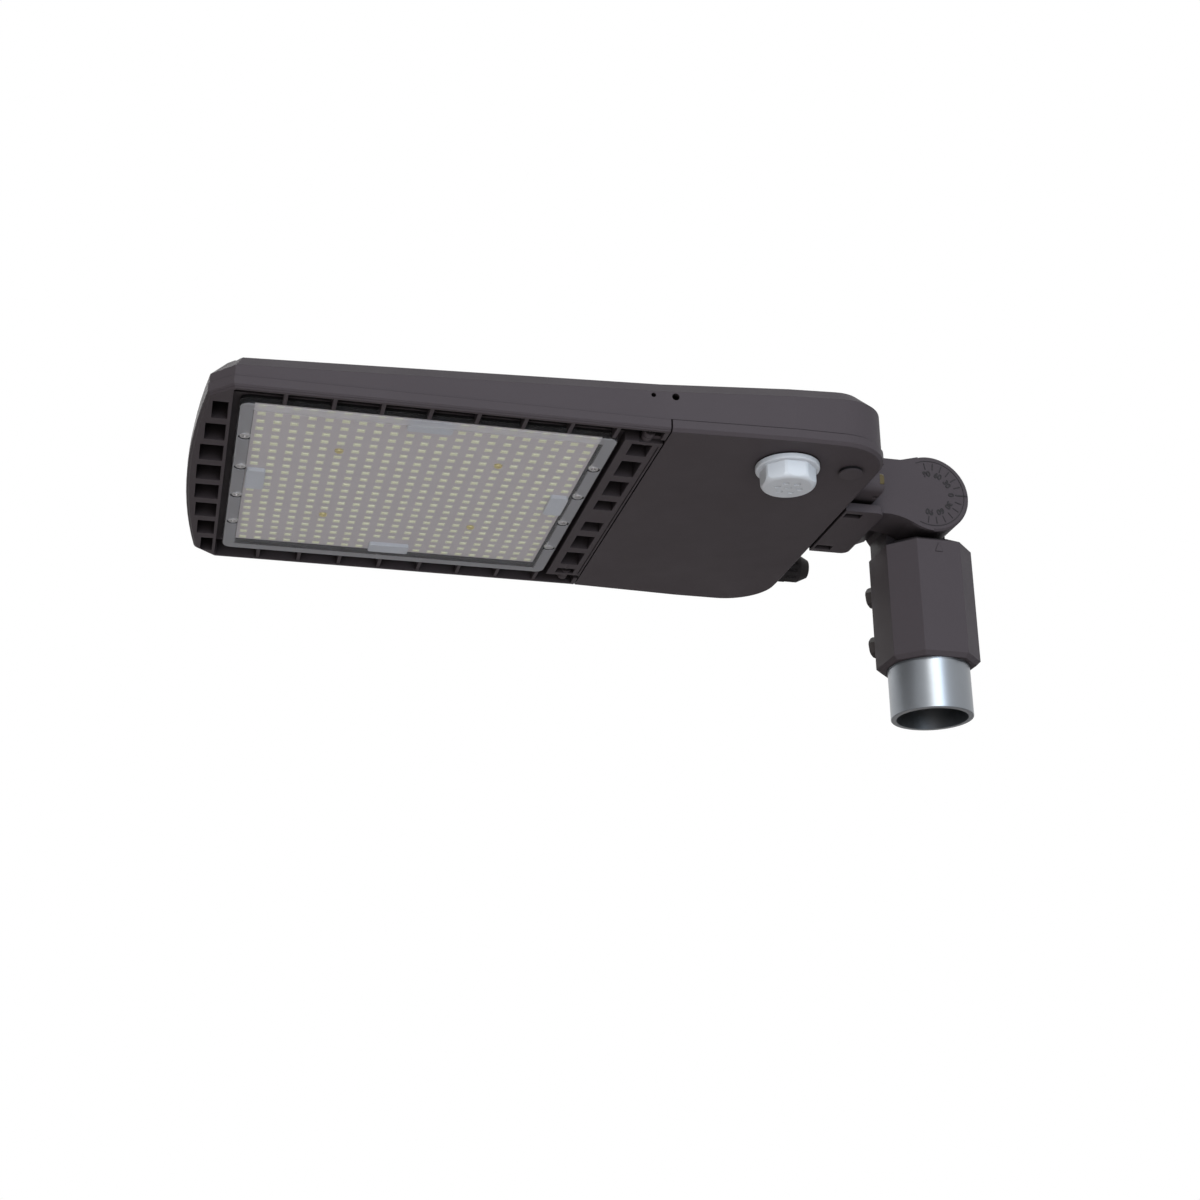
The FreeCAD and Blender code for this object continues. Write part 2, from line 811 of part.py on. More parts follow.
def make_lens_gasket():
    x0 = lens_front_x + gasket_side_gap
    x1 = lens_front_x + lens_length - gasket_side_gap
    half = lens_width / 2 - gasket_side_gap
    low = underside + lens_rim_height
    outer = rounded_plate(x0, x1, -half, half, low, plate_bottom, lens_corner_r - gasket_side_gap)
    outer = outer.cut(box(x0 + gasket_width_x, x1 - gasket_width_x, -half + gasket_width_y,
                          half - gasket_width_y, low - 1, plate_bottom + 1))
    hole_r = lens_screw_r + screw_play
    return less(outer, *[rod(hole_r, Vector(x, y, low - 1), UP, FAR_UP) for x, y in lens_screw_places()])


def make_lens_screws():
    under_head = underside + lens_screw_head_height
    length = plate_bottom + lens_screw_depth - under_head
    return [pan_screw(lens_screw_head_r, lens_screw_head_height - 0.5, lens_screw_r, length,
                      Vector(x, y, under_head), UP) for x, y in lens_screw_places()]


def make_board():
    x0 = lens_mid_x - board_length / 2
    board = box(x0, x0 + board_length, -board_width / 2, board_width / 2, board_bottom, plate_bottom)
    hole_r = board_screw_r + screw_play
    holes = [rod(hole_r, Vector(x, y, board_bottom - 1), UP, FAR_UP) for x, y in board_screw_places()]
    return less(board, *holes)


def make_leds():
    """Grid of LED packages, left out under the spacer pads and at the board's screws."""
    chips = []
    middle = (led_count - 1) / 2
    top = board_bottom
    for i in range(led_count):
        for j in range(led_count):
            x = lens_mid_x + (i - middle) * led_pitch_x
            y = (j - middle) * led_pitch_y
            at_screw = abs(i - middle) == board_screw_step and abs(j - middle) == board_screw_step
            if at_screw or under_pad(x, y):
                continue
            chips.append(box(x - led_size_x / 2, x + led_size_x / 2, y - led_size_y / 2, y + led_size_y / 2,
                             top - led_height, top))
    return chips


def pad_boxes():
    """Plan rectangles of the four spacer pads: x0, x1, y0, y1."""
    x_in = board_length / 2 - pad_edge_x
    y_in = board_width / 2 - pad_edge_y
    half = pad_long / 2
    pads = []
    for side in (-1, 1):
        xs = sorted((lens_mid_x + side * x_in, lens_mid_x + side * (x_in - pad_short)))
        pads.append((xs[0], xs[1], -half, half))
        ys = sorted((side * y_in, side * (y_in - pad_short)))
        pads.append((lens_mid_x - half, lens_mid_x + half, ys[0], ys[1]))
    return pads


def under_pad(x, y):
    for x0, x1, y0, y1 in pad_boxes():
        if x0 - led_size_x / 2 < x < x1 + led_size_x / 2 and y0 - led_size_y / 2 < y < y1 + led_size_y / 2:
            return True
    return False


def make_pads():
    low = underside + lens_window
    return [rounded_plate(x0, x1, y0, y1, low, board_bottom, 2.0) for x0, x1, y0, y1 in pad_boxes()]


def make_board_screws():
    length = plate_bottom + board_screw_depth - board_bottom
    return [pan_screw(board_screw_head_r, board_screw_head_height, board_screw_r, length,
                      Vector(x, y, board_bottom), UP) for x, y in board_screw_places()]


# ---------------------------------------------------------------- door
def door_outline(grow, low, high, front, back):
    return plan_prism(grow, low, high).common(box(front, back, -FAR_SIDE, FAR_SIDE, low - 1, high + 1))


def make_door():
    shell = lip_block().common(box(seam_x, rear_x + lip_proud, -FAR_SIDE, FAR_SIDE, 0, FAR_UP))
    low = underside + door_floor
    inner = door_outline(-door_rim, low, lip_top + 1, seam_x + door_rim, rear_x - door_rim)
    shell = shell.cut(inner)
    adds = []
    for side in (-1, 1):
        adds.append(hinge_hook(side))
        adds.append(catch_post(side))
    shell = joined(shell, *adds)
    cuts = [
        rod(sensor_neck_r, Vector(sensor_x, sensor_y, underside - 1), UP, door_floor + 2),
        rod(plug_stem_r + plug_play, Vector(selector_x, selector_y, underside - 1), UP, door_floor + 2)]
    for side in (-1, 1):
        start = Vector(hinge_x, side * hinge_y - hinge_eye_width, hinge_z)
        cuts.append(rod(hinge_pin_r + hinge_pin_play, start, ACROSS, 2 * hinge_eye_width))
    return less(shell, *cuts)


def hinge_hook(side):
    """Hook that reaches from the door's front edge to an eye round the hinge pin."""
    y0 = side * hinge_y - hinge_eye_width / 2
    eye = rod(hinge_eye_r, Vector(hinge_x, y0, hinge_z), ACROSS, hinge_eye_width)
    arm = box(hinge_x, seam_x + 0.5, y0, y0 + hinge_eye_width, hinge_z - 1.6, hinge_z + 2.2)
    return eye.fuse(arm)


def catch_x():
    return rear_x - land_inner - catch_from_rear


def catch_post(side):
    half = catch_post_size / 2
    x = catch_x()
    y = side * catch_post_y
    return box(x - half, x + half, y - half, y + half, underside + door_floor - 1,
               underside + door_floor + catch_post_height)


def make_door_clips():
    """Leaf clips on the rear wall that grip the door's posts."""
    clips = []
    half = catch_post_size / 2 + catch_clip_play
    t = catch_clip_thickness
    top = underside + door_floor + catch_post_height + 1
    for side in (-1, 1):
        y = side * catch_post_y
        x = catch_x()
        low = top - catch_clip_height
        cheek_a = box(x - half, bay_rear_x, y - half - t, y - half, low, top)
        cheek_b = box(x - half, bay_rear_x, y + half, y + half + t, low, top)
        back = box(bay_rear_x - t, bay_rear_x, y - half - t, y + half + t, low, top)
        clips.append(joined(cheek_a, cheek_b, back))
    return clips


def make_door_gasket():
    """Seal on the door's rim, under the ledge of the bay."""
    low = lip_top
    high = lip_top + door_gap
    edge = wall + door_gasket_play
    outer = door_outline(-edge, low, high, seam_x + door_gasket_play, rear_x - edge)
    w = door_gasket_width
    inner = door_outline(-edge - w, low - 1, high + 1, seam_x + door_gasket_play + w, rear_x - edge - w)
    return outer.cut(inner)


def make_hinge_pins():
    pins = []
    for side in (-1, 1):
        start = Vector(hinge_x, side * hinge_y - hinge_pin_length / 2, hinge_z)
        pins.append(rod(hinge_pin_r, start, ACROSS, hinge_pin_length))
    return pins


# ---------------------------------------------------------------- sensor and selector
def make_sensor():
    x, y = sensor_x, sensor_y
    flange_top = underside - sensor_gasket_thickness
    flange_low = flange_top - sensor_flange_height
    body_low = flange_low - sensor_body_height
    flange = rod(sensor_flange_r, Vector(x, y, flange_low), UP, sensor_flange_height)
    flange = flange.makeFillet(1.2, [e for e in flange.Edges if abs(e.BoundBox.ZMax - flange_low) < 0.01])
    body = rod(sensor_body_r, Vector(x, y, body_low), UP, sensor_body_height)
    low_rim = [e for e in body.Edges if abs(e.BoundBox.ZMax - body_low) < 0.01]
    body = body.makeFillet(sensor_body_break, low_rim)
    body = body.common(sensor_prism(body_low))
    neck = rod(sensor_neck_r, Vector(x, y, flange_top - 1), UP, sensor_neck_length + 1)
    dimples = [rod(sensor_dimple_r, Vector(x, y, body_low - 1), UP, 1 + sensor_dimple_depth)]
    for k in range(sensor_dimples):
        turn = 2 * math.pi * k / sensor_dimples
        out = Vector(math.cos(turn), math.sin(turn), 0) * sensor_dimple_ring_r
        start = Vector(x, y, body_low - 1) + out
        dimples.append(rod(sensor_dimple_r, start, UP, 1 + sensor_dimple_depth))
    return less(joined(flange, body, neck), *dimples)


def sensor_prism(low):
    """Prism whose flats cut the facets of the sensor's cap."""
    r = (sensor_body_r - sensor_facet_depth) / math.cos(math.pi / sensor_facets)
    corners = []
    for k in range(sensor_facets + 1):
        turn = (2 * k + 1) * math.pi / sensor_facets
        corners.append(Vector(sensor_x + r * math.cos(turn), sensor_y + r * math.sin(turn), low - 1))
    return Part.Face(Part.makePolygon(corners)).extrude(Vector(0, 0, sensor_body_height + 2))


def make_sensor_nut():
    low = underside + door_floor
    nut = hexagon(sensor_nut_flat, Vector(sensor_x, sensor_y, low), UP, sensor_nut_height)
    return nut.cut(rod(sensor_neck_r, Vector(sensor_x, sensor_y, low - 1), UP, sensor_nut_height + 2))


def make_sensor_gasket():
    start = Vector(sensor_x, sensor_y, underside - sensor_gasket_thickness)
    return ring(sensor_gasket_r, sensor_neck_r, start, UP, sensor_gasket_thickness)


def make_plug():
    x, y = selector_x, selector_y
    under_head = underside - plug_seal_thickness
    head = rod(plug_r, Vector(x, y, under_head - plug_head_height), UP, plug_head_height)
    stem = rod(plug_stem_r, Vector(x, y, under_head), UP, plug_seal_thickness + plug_stem_length)
    bore = rod(plug_stem_r - plug_wall, Vector(x, y, underside + 1), UP, plug_stem_length)
    return joined(head, stem).cut(bore)


def make_plug_seal():
    start = Vector(selector_x, selector_y, underside - plug_seal_thickness)
    return ring(plug_seal_r, plug_stem_r + plug_play, start, UP, plug_seal_thickness)


def selector_low():
    return underside + 17.0


def make_selector():
    x, y = selector_x, selector_y
    body = box(x - selector_length / 2, x + selector_length / 2, y - selector_width / 2,
               y + selector_width / 2, selector_low(), tray_bottom)
    groove = box(x - selector_slot / 2, x + selector_slot / 2, y - slider_width / 2 - slider_play,
                 y + slider_width / 2 + slider_play, selector_low() - 1, selector_low() + 3)
    return body.cut(groove)


def make_slider():
    x = selector_x - selector_slot / 2 + slider_play
    y = selector_y
    return box(x, x + slider_length, y - slider_width / 2, y + slider_width / 2,
               selector_low() - slider_proud, selector_low() + 3 - slider_play)


# ---------------------------------------------------------------- arm and knuckle
def arm_profile():
    """Side view of the arm from its flange to the knuckle disc."""
    top = knuckle_z + arm_top_rise
    low = knuckle_z - knuckle_r
    crest = knuckle_z + math.sqrt(knuckle_r ** 2 - arm_crest_run ** 2)
    flat_end = Vector(arm_end_x, 0, arm_low)
    sweep_mid = Vector(arm_end_x + arm_sweep_mid_run, 0, arm_low - arm_sweep_mid_drop)
    sweep_end = Vector(arm_end_x + arm_sweep_run, 0, arm_low - arm_sweep_drop)
    disc_low = Vector(knuckle_x, 0, low)
    centre = Vector(knuckle_x, 0, knuckle_z)
    shoulder = Vector(knuckle_x - arm_crest_run, 0, crest)
    fairing = Vector(knuckle_x - arm_fairing_run, 0, top)
    base_top = Vector(flange_x, 0, top)
    base_low = Vector(flange_x, 0, arm_low)
    blend = Vector((sweep_end.x + disc_low.x) / 2, 0, low + arm_blend_rise)
    return Part.Wire([
        Part.makeLine(base_low, flat_end),
        Part.Arc(flat_end, sweep_mid, sweep_end).toShape(),
        Part.Arc(sweep_end, blend, disc_low).toShape(),
        Part.makeLine(disc_low, centre),
        Part.makeLine(centre, shoulder),
        Part.makeLine(shoulder, fairing),
        Part.makeLine(fairing, base_top),
        Part.makeLine(base_top, base_low)])


def arm_far_half():
    """Far half of the arm, which stops short of the slip fitter's disc."""
    top = knuckle_z + arm_top_rise
    corners = [
        Vector(flange_x, 0, arm_low), Vector(arm_end_x, 0, arm_low),
        Vector(arm_end_x + arm_slope_run, 0, underside + arm_slope_rise), Vector(knuckle_x, 0, knuckle_z),
        Vector(knuckle_x - arm_fairing_run, 0, top), Vector(flange_x, 0, top)]
    half = Part.Face(Part.makePolygon(corners + corners[:1])).extrude(Vector(0, knuckle_half_width, 0))
    start = Vector(knuckle_x, -1, knuckle_z)
    return half.cut(rod(knuckle_r + arm_disc_gap, start, ACROSS, knuckle_half_width + 2))


def make_arm():
    half = knuckle_half_width
    near = Part.Face(arm_profile()).extrude(Vector(0, half - knuckle_gap / 2, 0))
    near.translate(Vector(0, -half, 0))
    body = joined(near, arm_far_half(), knuckle_disc(-1), flange_block(), arm_ledge())
    top = knuckle_z + arm_top_rise
    axis = Vector(knuckle_x, 0, knuckle_z)
    room = box(flange_x - 1, arm_end_x - arm_wall, -half + arm_wall, half - arm_wall,
               arm_low + arm_wall, top - arm_wall)
    duct = box(arm_end_x - arm_wall - 1, knuckle_x, -half + arm_wall, -knuckle_gap / 2 - arm_wall,
               knuckle_z - 14, knuckle_z + 14)
    hollow = rod(knuckle_hollow_r, axis + ACROSS * 0.9, ACROSS * -1, knuckle_hollow_depth + 1)
    core = rod(pivot_bolt_r + 5.0, axis + ACROSS, ACROSS * -1, knuckle_hollow_depth + 4)
    cuts = [room, duct.cut(core), hollow.cut(core)]
    cuts.append(rod(pivot_bolt_r, axis + ACROSS, ACROSS * -1, pivot_thread_depth + 1))
    for y in arm_bolt_places():
        cuts.append(rod(arm_bolt_r + 0.25, Vector(flange_x - 1, y, arm_bolt_z), ALONG, flange_thickness + 2))
        cuts.append(rod(arm_tool_r, Vector(arm_bolt_seat(), y, arm_bolt_z), ALONG, arm_tool_reach))
        cuts.append(bolt_notch(y))
    for side in (-1, 1):
        y = arm_centre_y + side * arm_slot_half
        cuts.append(box(flange_x + 1, flange_x + 1 + arm_slot_length, y - arm_slot_width / 2,
                        y + arm_slot_width / 2, underside - 1, underside + ledge_thickness - 1))
    return less(body, *cuts)


def bolt_notch(y):
    """Side opening of the flange, through which a spanner reaches the bolt at y."""
    y_end = y + math.copysign(FAR_SIDE, y)
    return box(arm_bolt_seat(), arm_bolt_seat() + arm_tool_reach, min(y, y_end), max(y, y_end),
               arm_bolt_z - arm_notch_half, arm_bolt_z + arm_notch_half)


def knuckle_disc(side):
    """Half of the knuckle on one side of the middle plane, its outer rim bevelled."""
    start = Vector(knuckle_x, side * knuckle_gap / 2, knuckle_z)
    disc = rod(knuckle_r, start, ACROSS * side, knuckle_half_width - knuckle_gap / 2)
    rim = [e for e in disc.Edges if abs(e.BoundBox.YMin - side * knuckle_half_width) < 0.01
           and abs(e.BoundBox.YMax - side * knuckle_half_width) < 0.01]
    return disc.makeChamfer(knuckle_rim_break, rim)


def flange_block():
    """Deep flange that carries the two bolts."""
    plate = box(flange_x, flange_x + flange_thickness, arm_centre_y - flange_half_width,
                arm_centre_y + flange_half_width, underside + flange_low, underside + flange_high)
    corners = [e for e in plate.Edges if is_line(e) and abs(edge_direction(e).x) > 0.999]
    return plate.makeFillet(flange_corner_r, corners)


def arm_ledge():
    """Ledge along the underside, below the bolts."""
    end = rear_x + ledge_end_from_rear
    start = rear_x + lip_proud + ledge_door_gap
    ledge = box(start, end, arm_centre_y - ledge_half_width, arm_centre_y + ledge_half_width,
                underside, underside + ledge_thickness)
    ends = [e for e in upright_edges(ledge) if abs(e.CenterOfMass.x - end) < 0.01]
    return ledge.makeFillet(ledge_corner_r, ends)


def make_arm_gasket():
    x0 = rear_x
    half = flange_half_width - arm_gasket_inset
    plate = box(x0, flange_x, arm_centre_y - half, arm_centre_y + half, underside + flange_low + 1,
                top_z(rear_x) - top_bevel)
    holes = [rod(wire_bore_r, Vector(x0 - 1, 0, knuckle_z), ALONG, 6)]
    for y in arm_bolt_places():
        holes.append(rod(arm_bolt_r + 0.25, Vector(x0 - 1, y, arm_bolt_z), ALONG, 6))
    return less(plate, *holes)


def arm_bolt_seat():
    return flange_x + flange_thickness - arm_seat_depth


def arm_bolt_places():
    return (arm_centre_y - arm_bolt_half, arm_centre_y + arm_bolt_half)


def make_arm_bolts():
    bolts = []
    for y in arm_bolt_places():
        start = Vector(arm_bolt_seat() + arm_washer_thickness, y, arm_bolt_z)
        length = start.x - rear_x + wall + arm_bolt_depth - 2
        bolts.append(bolt(arm_bolt_flat, arm_bolt_head, arm_bolt_r, length, start, ALONG * -1))
    return bolts


def make_arm_washers():
    return [ring(arm_washer_r, arm_bolt_r + 0.2, Vector(arm_bolt_seat(), y, arm_bolt_z), ALONG,
                 arm_washer_thickness) for y in arm_bolt_places()]


def octagon_points(grow, level):
    """Closed outline of the fitter's eight sides, grown by grow."""
    half = fitter_across / 2 + grow
    facet = fitter_facet / 2 + grow * math.tan(math.pi / 8)
    quarter = [(facet, -half), (half, -facet), (half, facet), (facet, half)]
    corners = quarter + [(-x, -y) for x, y in quarter]
    points = [Vector(x, y, level) for x, y in corners]
    return points + points[:1]


def octagon(level, height):
    return Part.Face(Part.makePolygon(octagon_points(0, level))).extrude(Vector(0, 0, height))


def make_fitter():
    body = octagon(fitter_bottom, fitter_height)
    low_rim = [e for e in body.Edges if abs(e.CenterOfMass.z - fitter_bottom) < 0.01]
    body = body.makeChamfer(fitter_mouth_break, low_rim)
    crown_level = fitter_top + fitter_shoulder_rise
    base = Part.makePolygon(octagon_points(0, fitter_top))
    crown = Part.makePolygon(octagon_points(-fitter_shoulder_run, crown_level))
    shoulder = Part.makeLoft([base, crown], True, True)
    half = knuckle_half_width
    neck_half = knuckle_r - neck_inset
    neck = box(knuckle_x - neck_half, knuckle_x + neck_half, knuckle_gap / 2, half - 3,
               fitter_top - 4, knuckle_z)
    body = joined(body, shoulder, neck, knuckle_disc(1), pointer())
    bore_r = tenon_od / 2 + fitter_counterbore_play
    land_r = tenon_od / 2 + tenon_play
    land_end = fitter_bottom + fitter_land_length
    stop = fitter_bottom + tenon_inserted
    axis = Vector(knuckle_x, -1, knuckle_z)
    core = rod(pivot_bolt_r + 5, axis, ACROSS, half + 2)
    cuts = [
        rod(land_r, Vector(0, 0, fitter_bottom - 1), UP, fitter_land_length + 1),
        rod(bore_r, Vector(0, 0, land_end), UP, stop - land_end),
        rod(tenon_od / 2 - tenon_wall - 1, Vector(0, 0, stop - 1), UP, fitter_top - 6 - stop + 1),
        box(-fitter_wire_bore_r, fitter_wire_bore_r, 7, half - 7, fitter_top - 8, knuckle_z).cut(core),
        rod(pivot_bolt_r + pivot_bolt_play, axis, ACROSS, half + 2),
        rod(knuckle_hollow_r, axis, ACROSS, 9).cut(core)]
    for z in set_screw_levels():
        start = Vector(0, 0, z) + set_screw_way() * (tenon_od / 2 - 2)
        cuts.append(rod(set_screw_r, start, set_screw_way(), fitter_across / 2))
    return less(body, *cuts)


def pointer():
    """Raised arrow on the near facet, under the degree scale."""
    z = fitter_top - pointer_drop
    y = -fitter_across / 2
    corners = [Vector(-pointer_width / 2, y, z), Vector(pointer_width / 2, y, z),
               Vector(0, y, z + pointer_height), Vector(-pointer_width / 2, y, z)]
    return Part.Face(Part.makePolygon(corners)).extrude(Vector(0, -pointer_proud, 0)).fuse(
        Part.Face(Part.makePolygon(corners)).extrude(Vector(0, 1, 0)))


def set_screw_way():
    return Vector(-math.sqrt(0.5), math.sqrt(0.5), 0)


def set_screw_levels():
    low = fitter_bottom + set_screw_low
    return (low, low + set_screw_pitch)


def make_set_screws():
    """Clamping screws that bear on the tenon; their heads stand off the facet."""
    screws = []
    way = set_screw_way()
    facet_distance = (fitter_across / 2 + fitter_facet / 2) / math.sqrt(2.0)
    seat = facet_distance + set_screw_standoff
    length = seat - tenon_od / 2 - 0.05
    for z in set_screw_levels():
        start = Vector(0, 0, z) + way * seat
        screws.append(bolt(set_screw_head_flat, set_screw_head_height, set_screw_r, length, start, way * -1))
    return screws


def make_tenon():
    """Pole end; a fine turned line marks how deep it goes into the fitter."""
    length = tenon_exposed + tenon_inserted
    outer = rod(tenon_od / 2, Vector(0, 0, 0), UP, length)
    outer = outer.makeChamfer(tenon_rim_break, [e for e in outer.Edges if e.BoundBox.ZMax < 0.01])
    line_start = Vector(0, 0, tenon_exposed - tenon_line_drop)
    line = ring(tenon_od / 2 + 1, tenon_od / 2 - tenon_line_depth, line_start, UP, tenon_line_width)
    return less(outer, line, rod(tenon_od / 2 - tenon_wall, Vector(0, 0, -1), UP, length + 2))


def make_pivot_bolt():
    seat = knuckle_half_width + pivot_washer_thickness + pivot_spring_washer_thickness
    length = seat + pivot_thread_depth - 1
    start = Vector(knuckle_x, seat, knuckle_z)
    return bolt(pivot_head_flat, pivot_head_height, pivot_bolt_r, length, start, ACROSS * -1)


def make_pivot_washers():
    flat = ring(pivot_washer_r, pivot_bolt_r + 0.2, Vector(knuckle_x, knuckle_half_width, knuckle_z), ACROSS,
                pivot_washer_thickness)
    spring = ring(pivot_spring_washer_r, pivot_bolt_r + 0.2,
                  Vector(knuckle_x, knuckle_half_width + pivot_washer_thickness, knuckle_z), ACROSS,
                  pivot_spring_washer_thickness)
    return [flat, spring]


# ---------------------------------------------------------------- gland
def make_gland_body():
    start = Vector(gland_seat_x, gland_y, gland_z)
    hexed = hexagon(gland_hex_flat, start, ALONG, gland_hex_height)
    thread_length = gland_pad_proud + gland_boss_depth + gland_locknut_height + 2
    thread = rod(gland_thread_r, start + ALONG * -thread_length, ALONG, thread_length + 1)
    collar = rod(gland_thread_r, start, ALONG, gland_hex_height + gland_nut_height * 0.6)
    body = joined(hexed, thread, collar)
    return body.cut(rod(gland_seal_r, start + ALONG * -30, ALONG, 70))


def make_gland_nut():
    start = Vector(gland_seat_x + gland_hex_height, gland_y, gland_z)
    tube = rod(gland_nut_r, start, ALONG, gland_nut_height)
    nose_start = start + ALONG * gland_nut_height
    nose = Part.makeCone(gland_nut_r, gland_nut_nose_r, gland_nut_nose, nose_start, ALONG)
    grips = []
    for k in range(12):
        turn = k * math.pi / 6
        out = Vector(0, math.cos(turn), math.sin(turn)) * gland_nut_r
        grips.append(rod(gland_grip_r, start - ALONG + out, ALONG, gland_nut_height - 2))
    nut = less(joined(tube, nose), *grips)
    bore = rod(gland_thread_r, start - ALONG, ALONG, gland_nut_height * 0.6 + 1)
    mouth = rod(gland_seal_r, start - ALONG, ALONG, 40)
    return less(nut, bore, mouth)


def make_gland_seal():
    """Rubber insert with its blanking pin, for the cable that is not fitted."""
    start = Vector(rear_x - wall, gland_y, gland_z)
    outer_end = gland_seat_x + gland_hex_height + gland_nut_height + gland_nut_nose
    return rod(gland_seal_r, start, ALONG, outer_end - gland_seal_recess - start.x)


def make_gland_locknut():
    start = Vector(rear_x - gland_boss_depth - gland_locknut_height, gland_y, gland_z)
    return hexagon(gland_locknut_flat, start, ALONG, gland_locknut_height).cut(
        rod(gland_thread_r, start - ALONG, ALONG, gland_locknut_height + 2))


# ---------------------------------------------------------------- driver bay contents
def make_tray():
    x0 = bay_front_x + tray_front_gap
    x1 = bay_rear_x - tray_rear_gap
    plate = box(x0, x1, -tray_half_width, tray_half_width, tray_bottom, tray_top)
    ear = box(selector_x - selector_length / 2 - 3, x1, selector_y - selector_width / 2 - 3,
              -tray_half_width + 1, tray_bottom, tray_top)
    holes = [rod(tray_screw_r + 0.2, Vector(x, y, tray_bottom - 1), UP, 4) for x, y in post_places()]
    return less(joined(plate, ear), *holes)


def make_tray_screws():
    return [pan_screw(tray_screw_head_r, tray_screw_head_height, tray_screw_r, tray_thickness + 4,
                      Vector(x, y, tray_bottom), UP) for x, y in post_places()]


def driver_span():
    middle = (bay_front_x + bay_rear_x) / 2
    return middle - driver_length / 2, middle + driver_length / 2


def make_driver():
    x0, x1 = driver_span()
    y0 = driver_y - driver_width / 2
    y1 = driver_y + driver_width / 2
    low = tray_bottom - driver_height
    case = box(x0, x1, y0, y1, low, tray_bottom)
    case = case.makeChamfer(2.0, [e for e in case.Edges if is_line(e) and abs(edge_direction(e).x) > 0.99])
    ribs = [box(x0 + driver_cap, x1 - driver_cap, y0 + 8 + k * 8, y0 + 10 + k * 8, low - 1, low + 1.2)
            for k in range(7)]
    return less(case, *ribs)


def make_surge():
    x0 = driver_span()[0]
    block = box(x0, x0 + surge_length, surge_y - surge_width / 2, surge_y + surge_width / 2,
                tray_bottom - surge_height, tray_bottom)
    return block.makeFillet(2.5, upright_edges(block))


def make_terminal():
    x0 = driver_span()[0]
    y0 = terminal_y - terminal_width / 2
    low = tray_bottom - terminal_height
    block = box(x0, x0 + terminal_length, y0, y0 + terminal_width, low, tray_bottom)
    way = terminal_length / terminal_ways
    cuts = []
    for k in range(terminal_ways):
        x = x0 + (k + 0.5) * way
        cuts.append(rod(2.4, Vector(x, terminal_y, low - 1), UP, 6))
        cuts.append(box(x - 2, x + 2, y0 - 1, y0 + 5, low + 7, low + 12))
    return less(block, *cuts)


def make_leads():
    """Two LED leads from the driver's end, through the duct, down to the board."""
    leads = []
    level = lead_level()
    x_end = driver_span()[0]
    for y in (-lead_pitch / 2, lead_pitch / 2):
        bend = lead_bend_r
        x_drop = lead_drop_x()
        turn = math.sqrt(0.5) * bend
        z_turn = level - bend
        down = Part.makeLine(Vector(x_drop - bend, y, plate_bottom), Vector(x_drop - bend, y, z_turn))
        arc = Part.Arc(Vector(x_drop - bend, y, z_turn), Vector(x_drop - turn, y, z_turn + turn),
                       Vector(x_drop, y, level)).toShape()
        run = Part.makeLine(Vector(x_drop, y, level), Vector(x_end, y, level))
        path = Part.Wire([down, arc, run])
        profile = Part.Wire(Part.makeCircle(lead_r, Vector(x_drop - bend, y, plate_bottom), UP))
        leads.append(path.makePipeShell([profile], True, False))
    return leads


def make_grommet():
    start = Vector(bay_front_x, 0, lead_level())
    flange = ring(grommet_flange_r, lead_bore_r - grommet_wall, start, ALONG, grommet_flange)
    sleeve = ring(lead_bore_r - 0.02, lead_bore_r - grommet_wall, start - ALONG * 6, ALONG, 6)
    return joined(flange, sleeve)


def make_earth_screw():
    x, y = earth_place()
    return pan_screw(earth_head_r, earth_head_height, earth_screw_r, 6.5, Vector(x, y, earth_level()), UP)


def main():
    os.makedirs("parts", exist_ok=True)
    save("tenon_stub", make_tenon())
    save("slip_fitter", make_fitter())
    save("set_screws", *make_set_screws())
    save("arm_bracket", make_arm())
    save("knuckle_bolt", make_pivot_bolt())
    save("knuckle_washers", *make_pivot_washers())
    save("arm_bolts", *make_arm_bolts())
    save("arm_washers", *make_arm_washers())
    save("arm_gasket", make_arm_gasket())
    save("housing", make_housing())
    save("led_board", make_board())
    save("led_chips", *make_leds())
    save("board_screws", *make_board_screws())
    save("lens_cover", make_lens())
    save("lens_gasket", make_lens_gasket())
    save("lens_screws", *make_lens_screws())
    save("lens_pads", *make_pads())
    save("door", make_door())
    save("door_gasket", make_door_gasket())
    save("door_clips", *make_door_clips())
    save("hinge_pins", *make_hinge_pins())
    save("sensor", make_sensor())
    save("sensor_nut", make_sensor_nut())
    save("sensor_gasket", make_sensor_gasket())
    save("selector_plug", make_plug())
    save("plug_seal", make_plug_seal())
    save("selector_switch", make_selector())
    save("selector_slider", make_slider())
    save("gland_body", make_gland_body())
    save("gland_nut", make_gland_nut())
    save("gland_seal", make_gland_seal())
    save("gland_locknut", make_gland_locknut())
    save("gear_tray", make_tray())
    save("tray_screws", *make_tray_screws())
    save("led_driver", make_driver())
    save("surge_protector", make_surge())
    save("terminal_block", make_terminal())
    save("led_leads", *make_leads())
    save("lead_grommet", make_grommet())
    save("earth_screw", make_earth_screw())


main()
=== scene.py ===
import math

import bmesh
import bpy
from bpy.props import FloatProperty, FloatVectorProperty, IntProperty, PointerProperty
from mathutils import Matrix, Vector


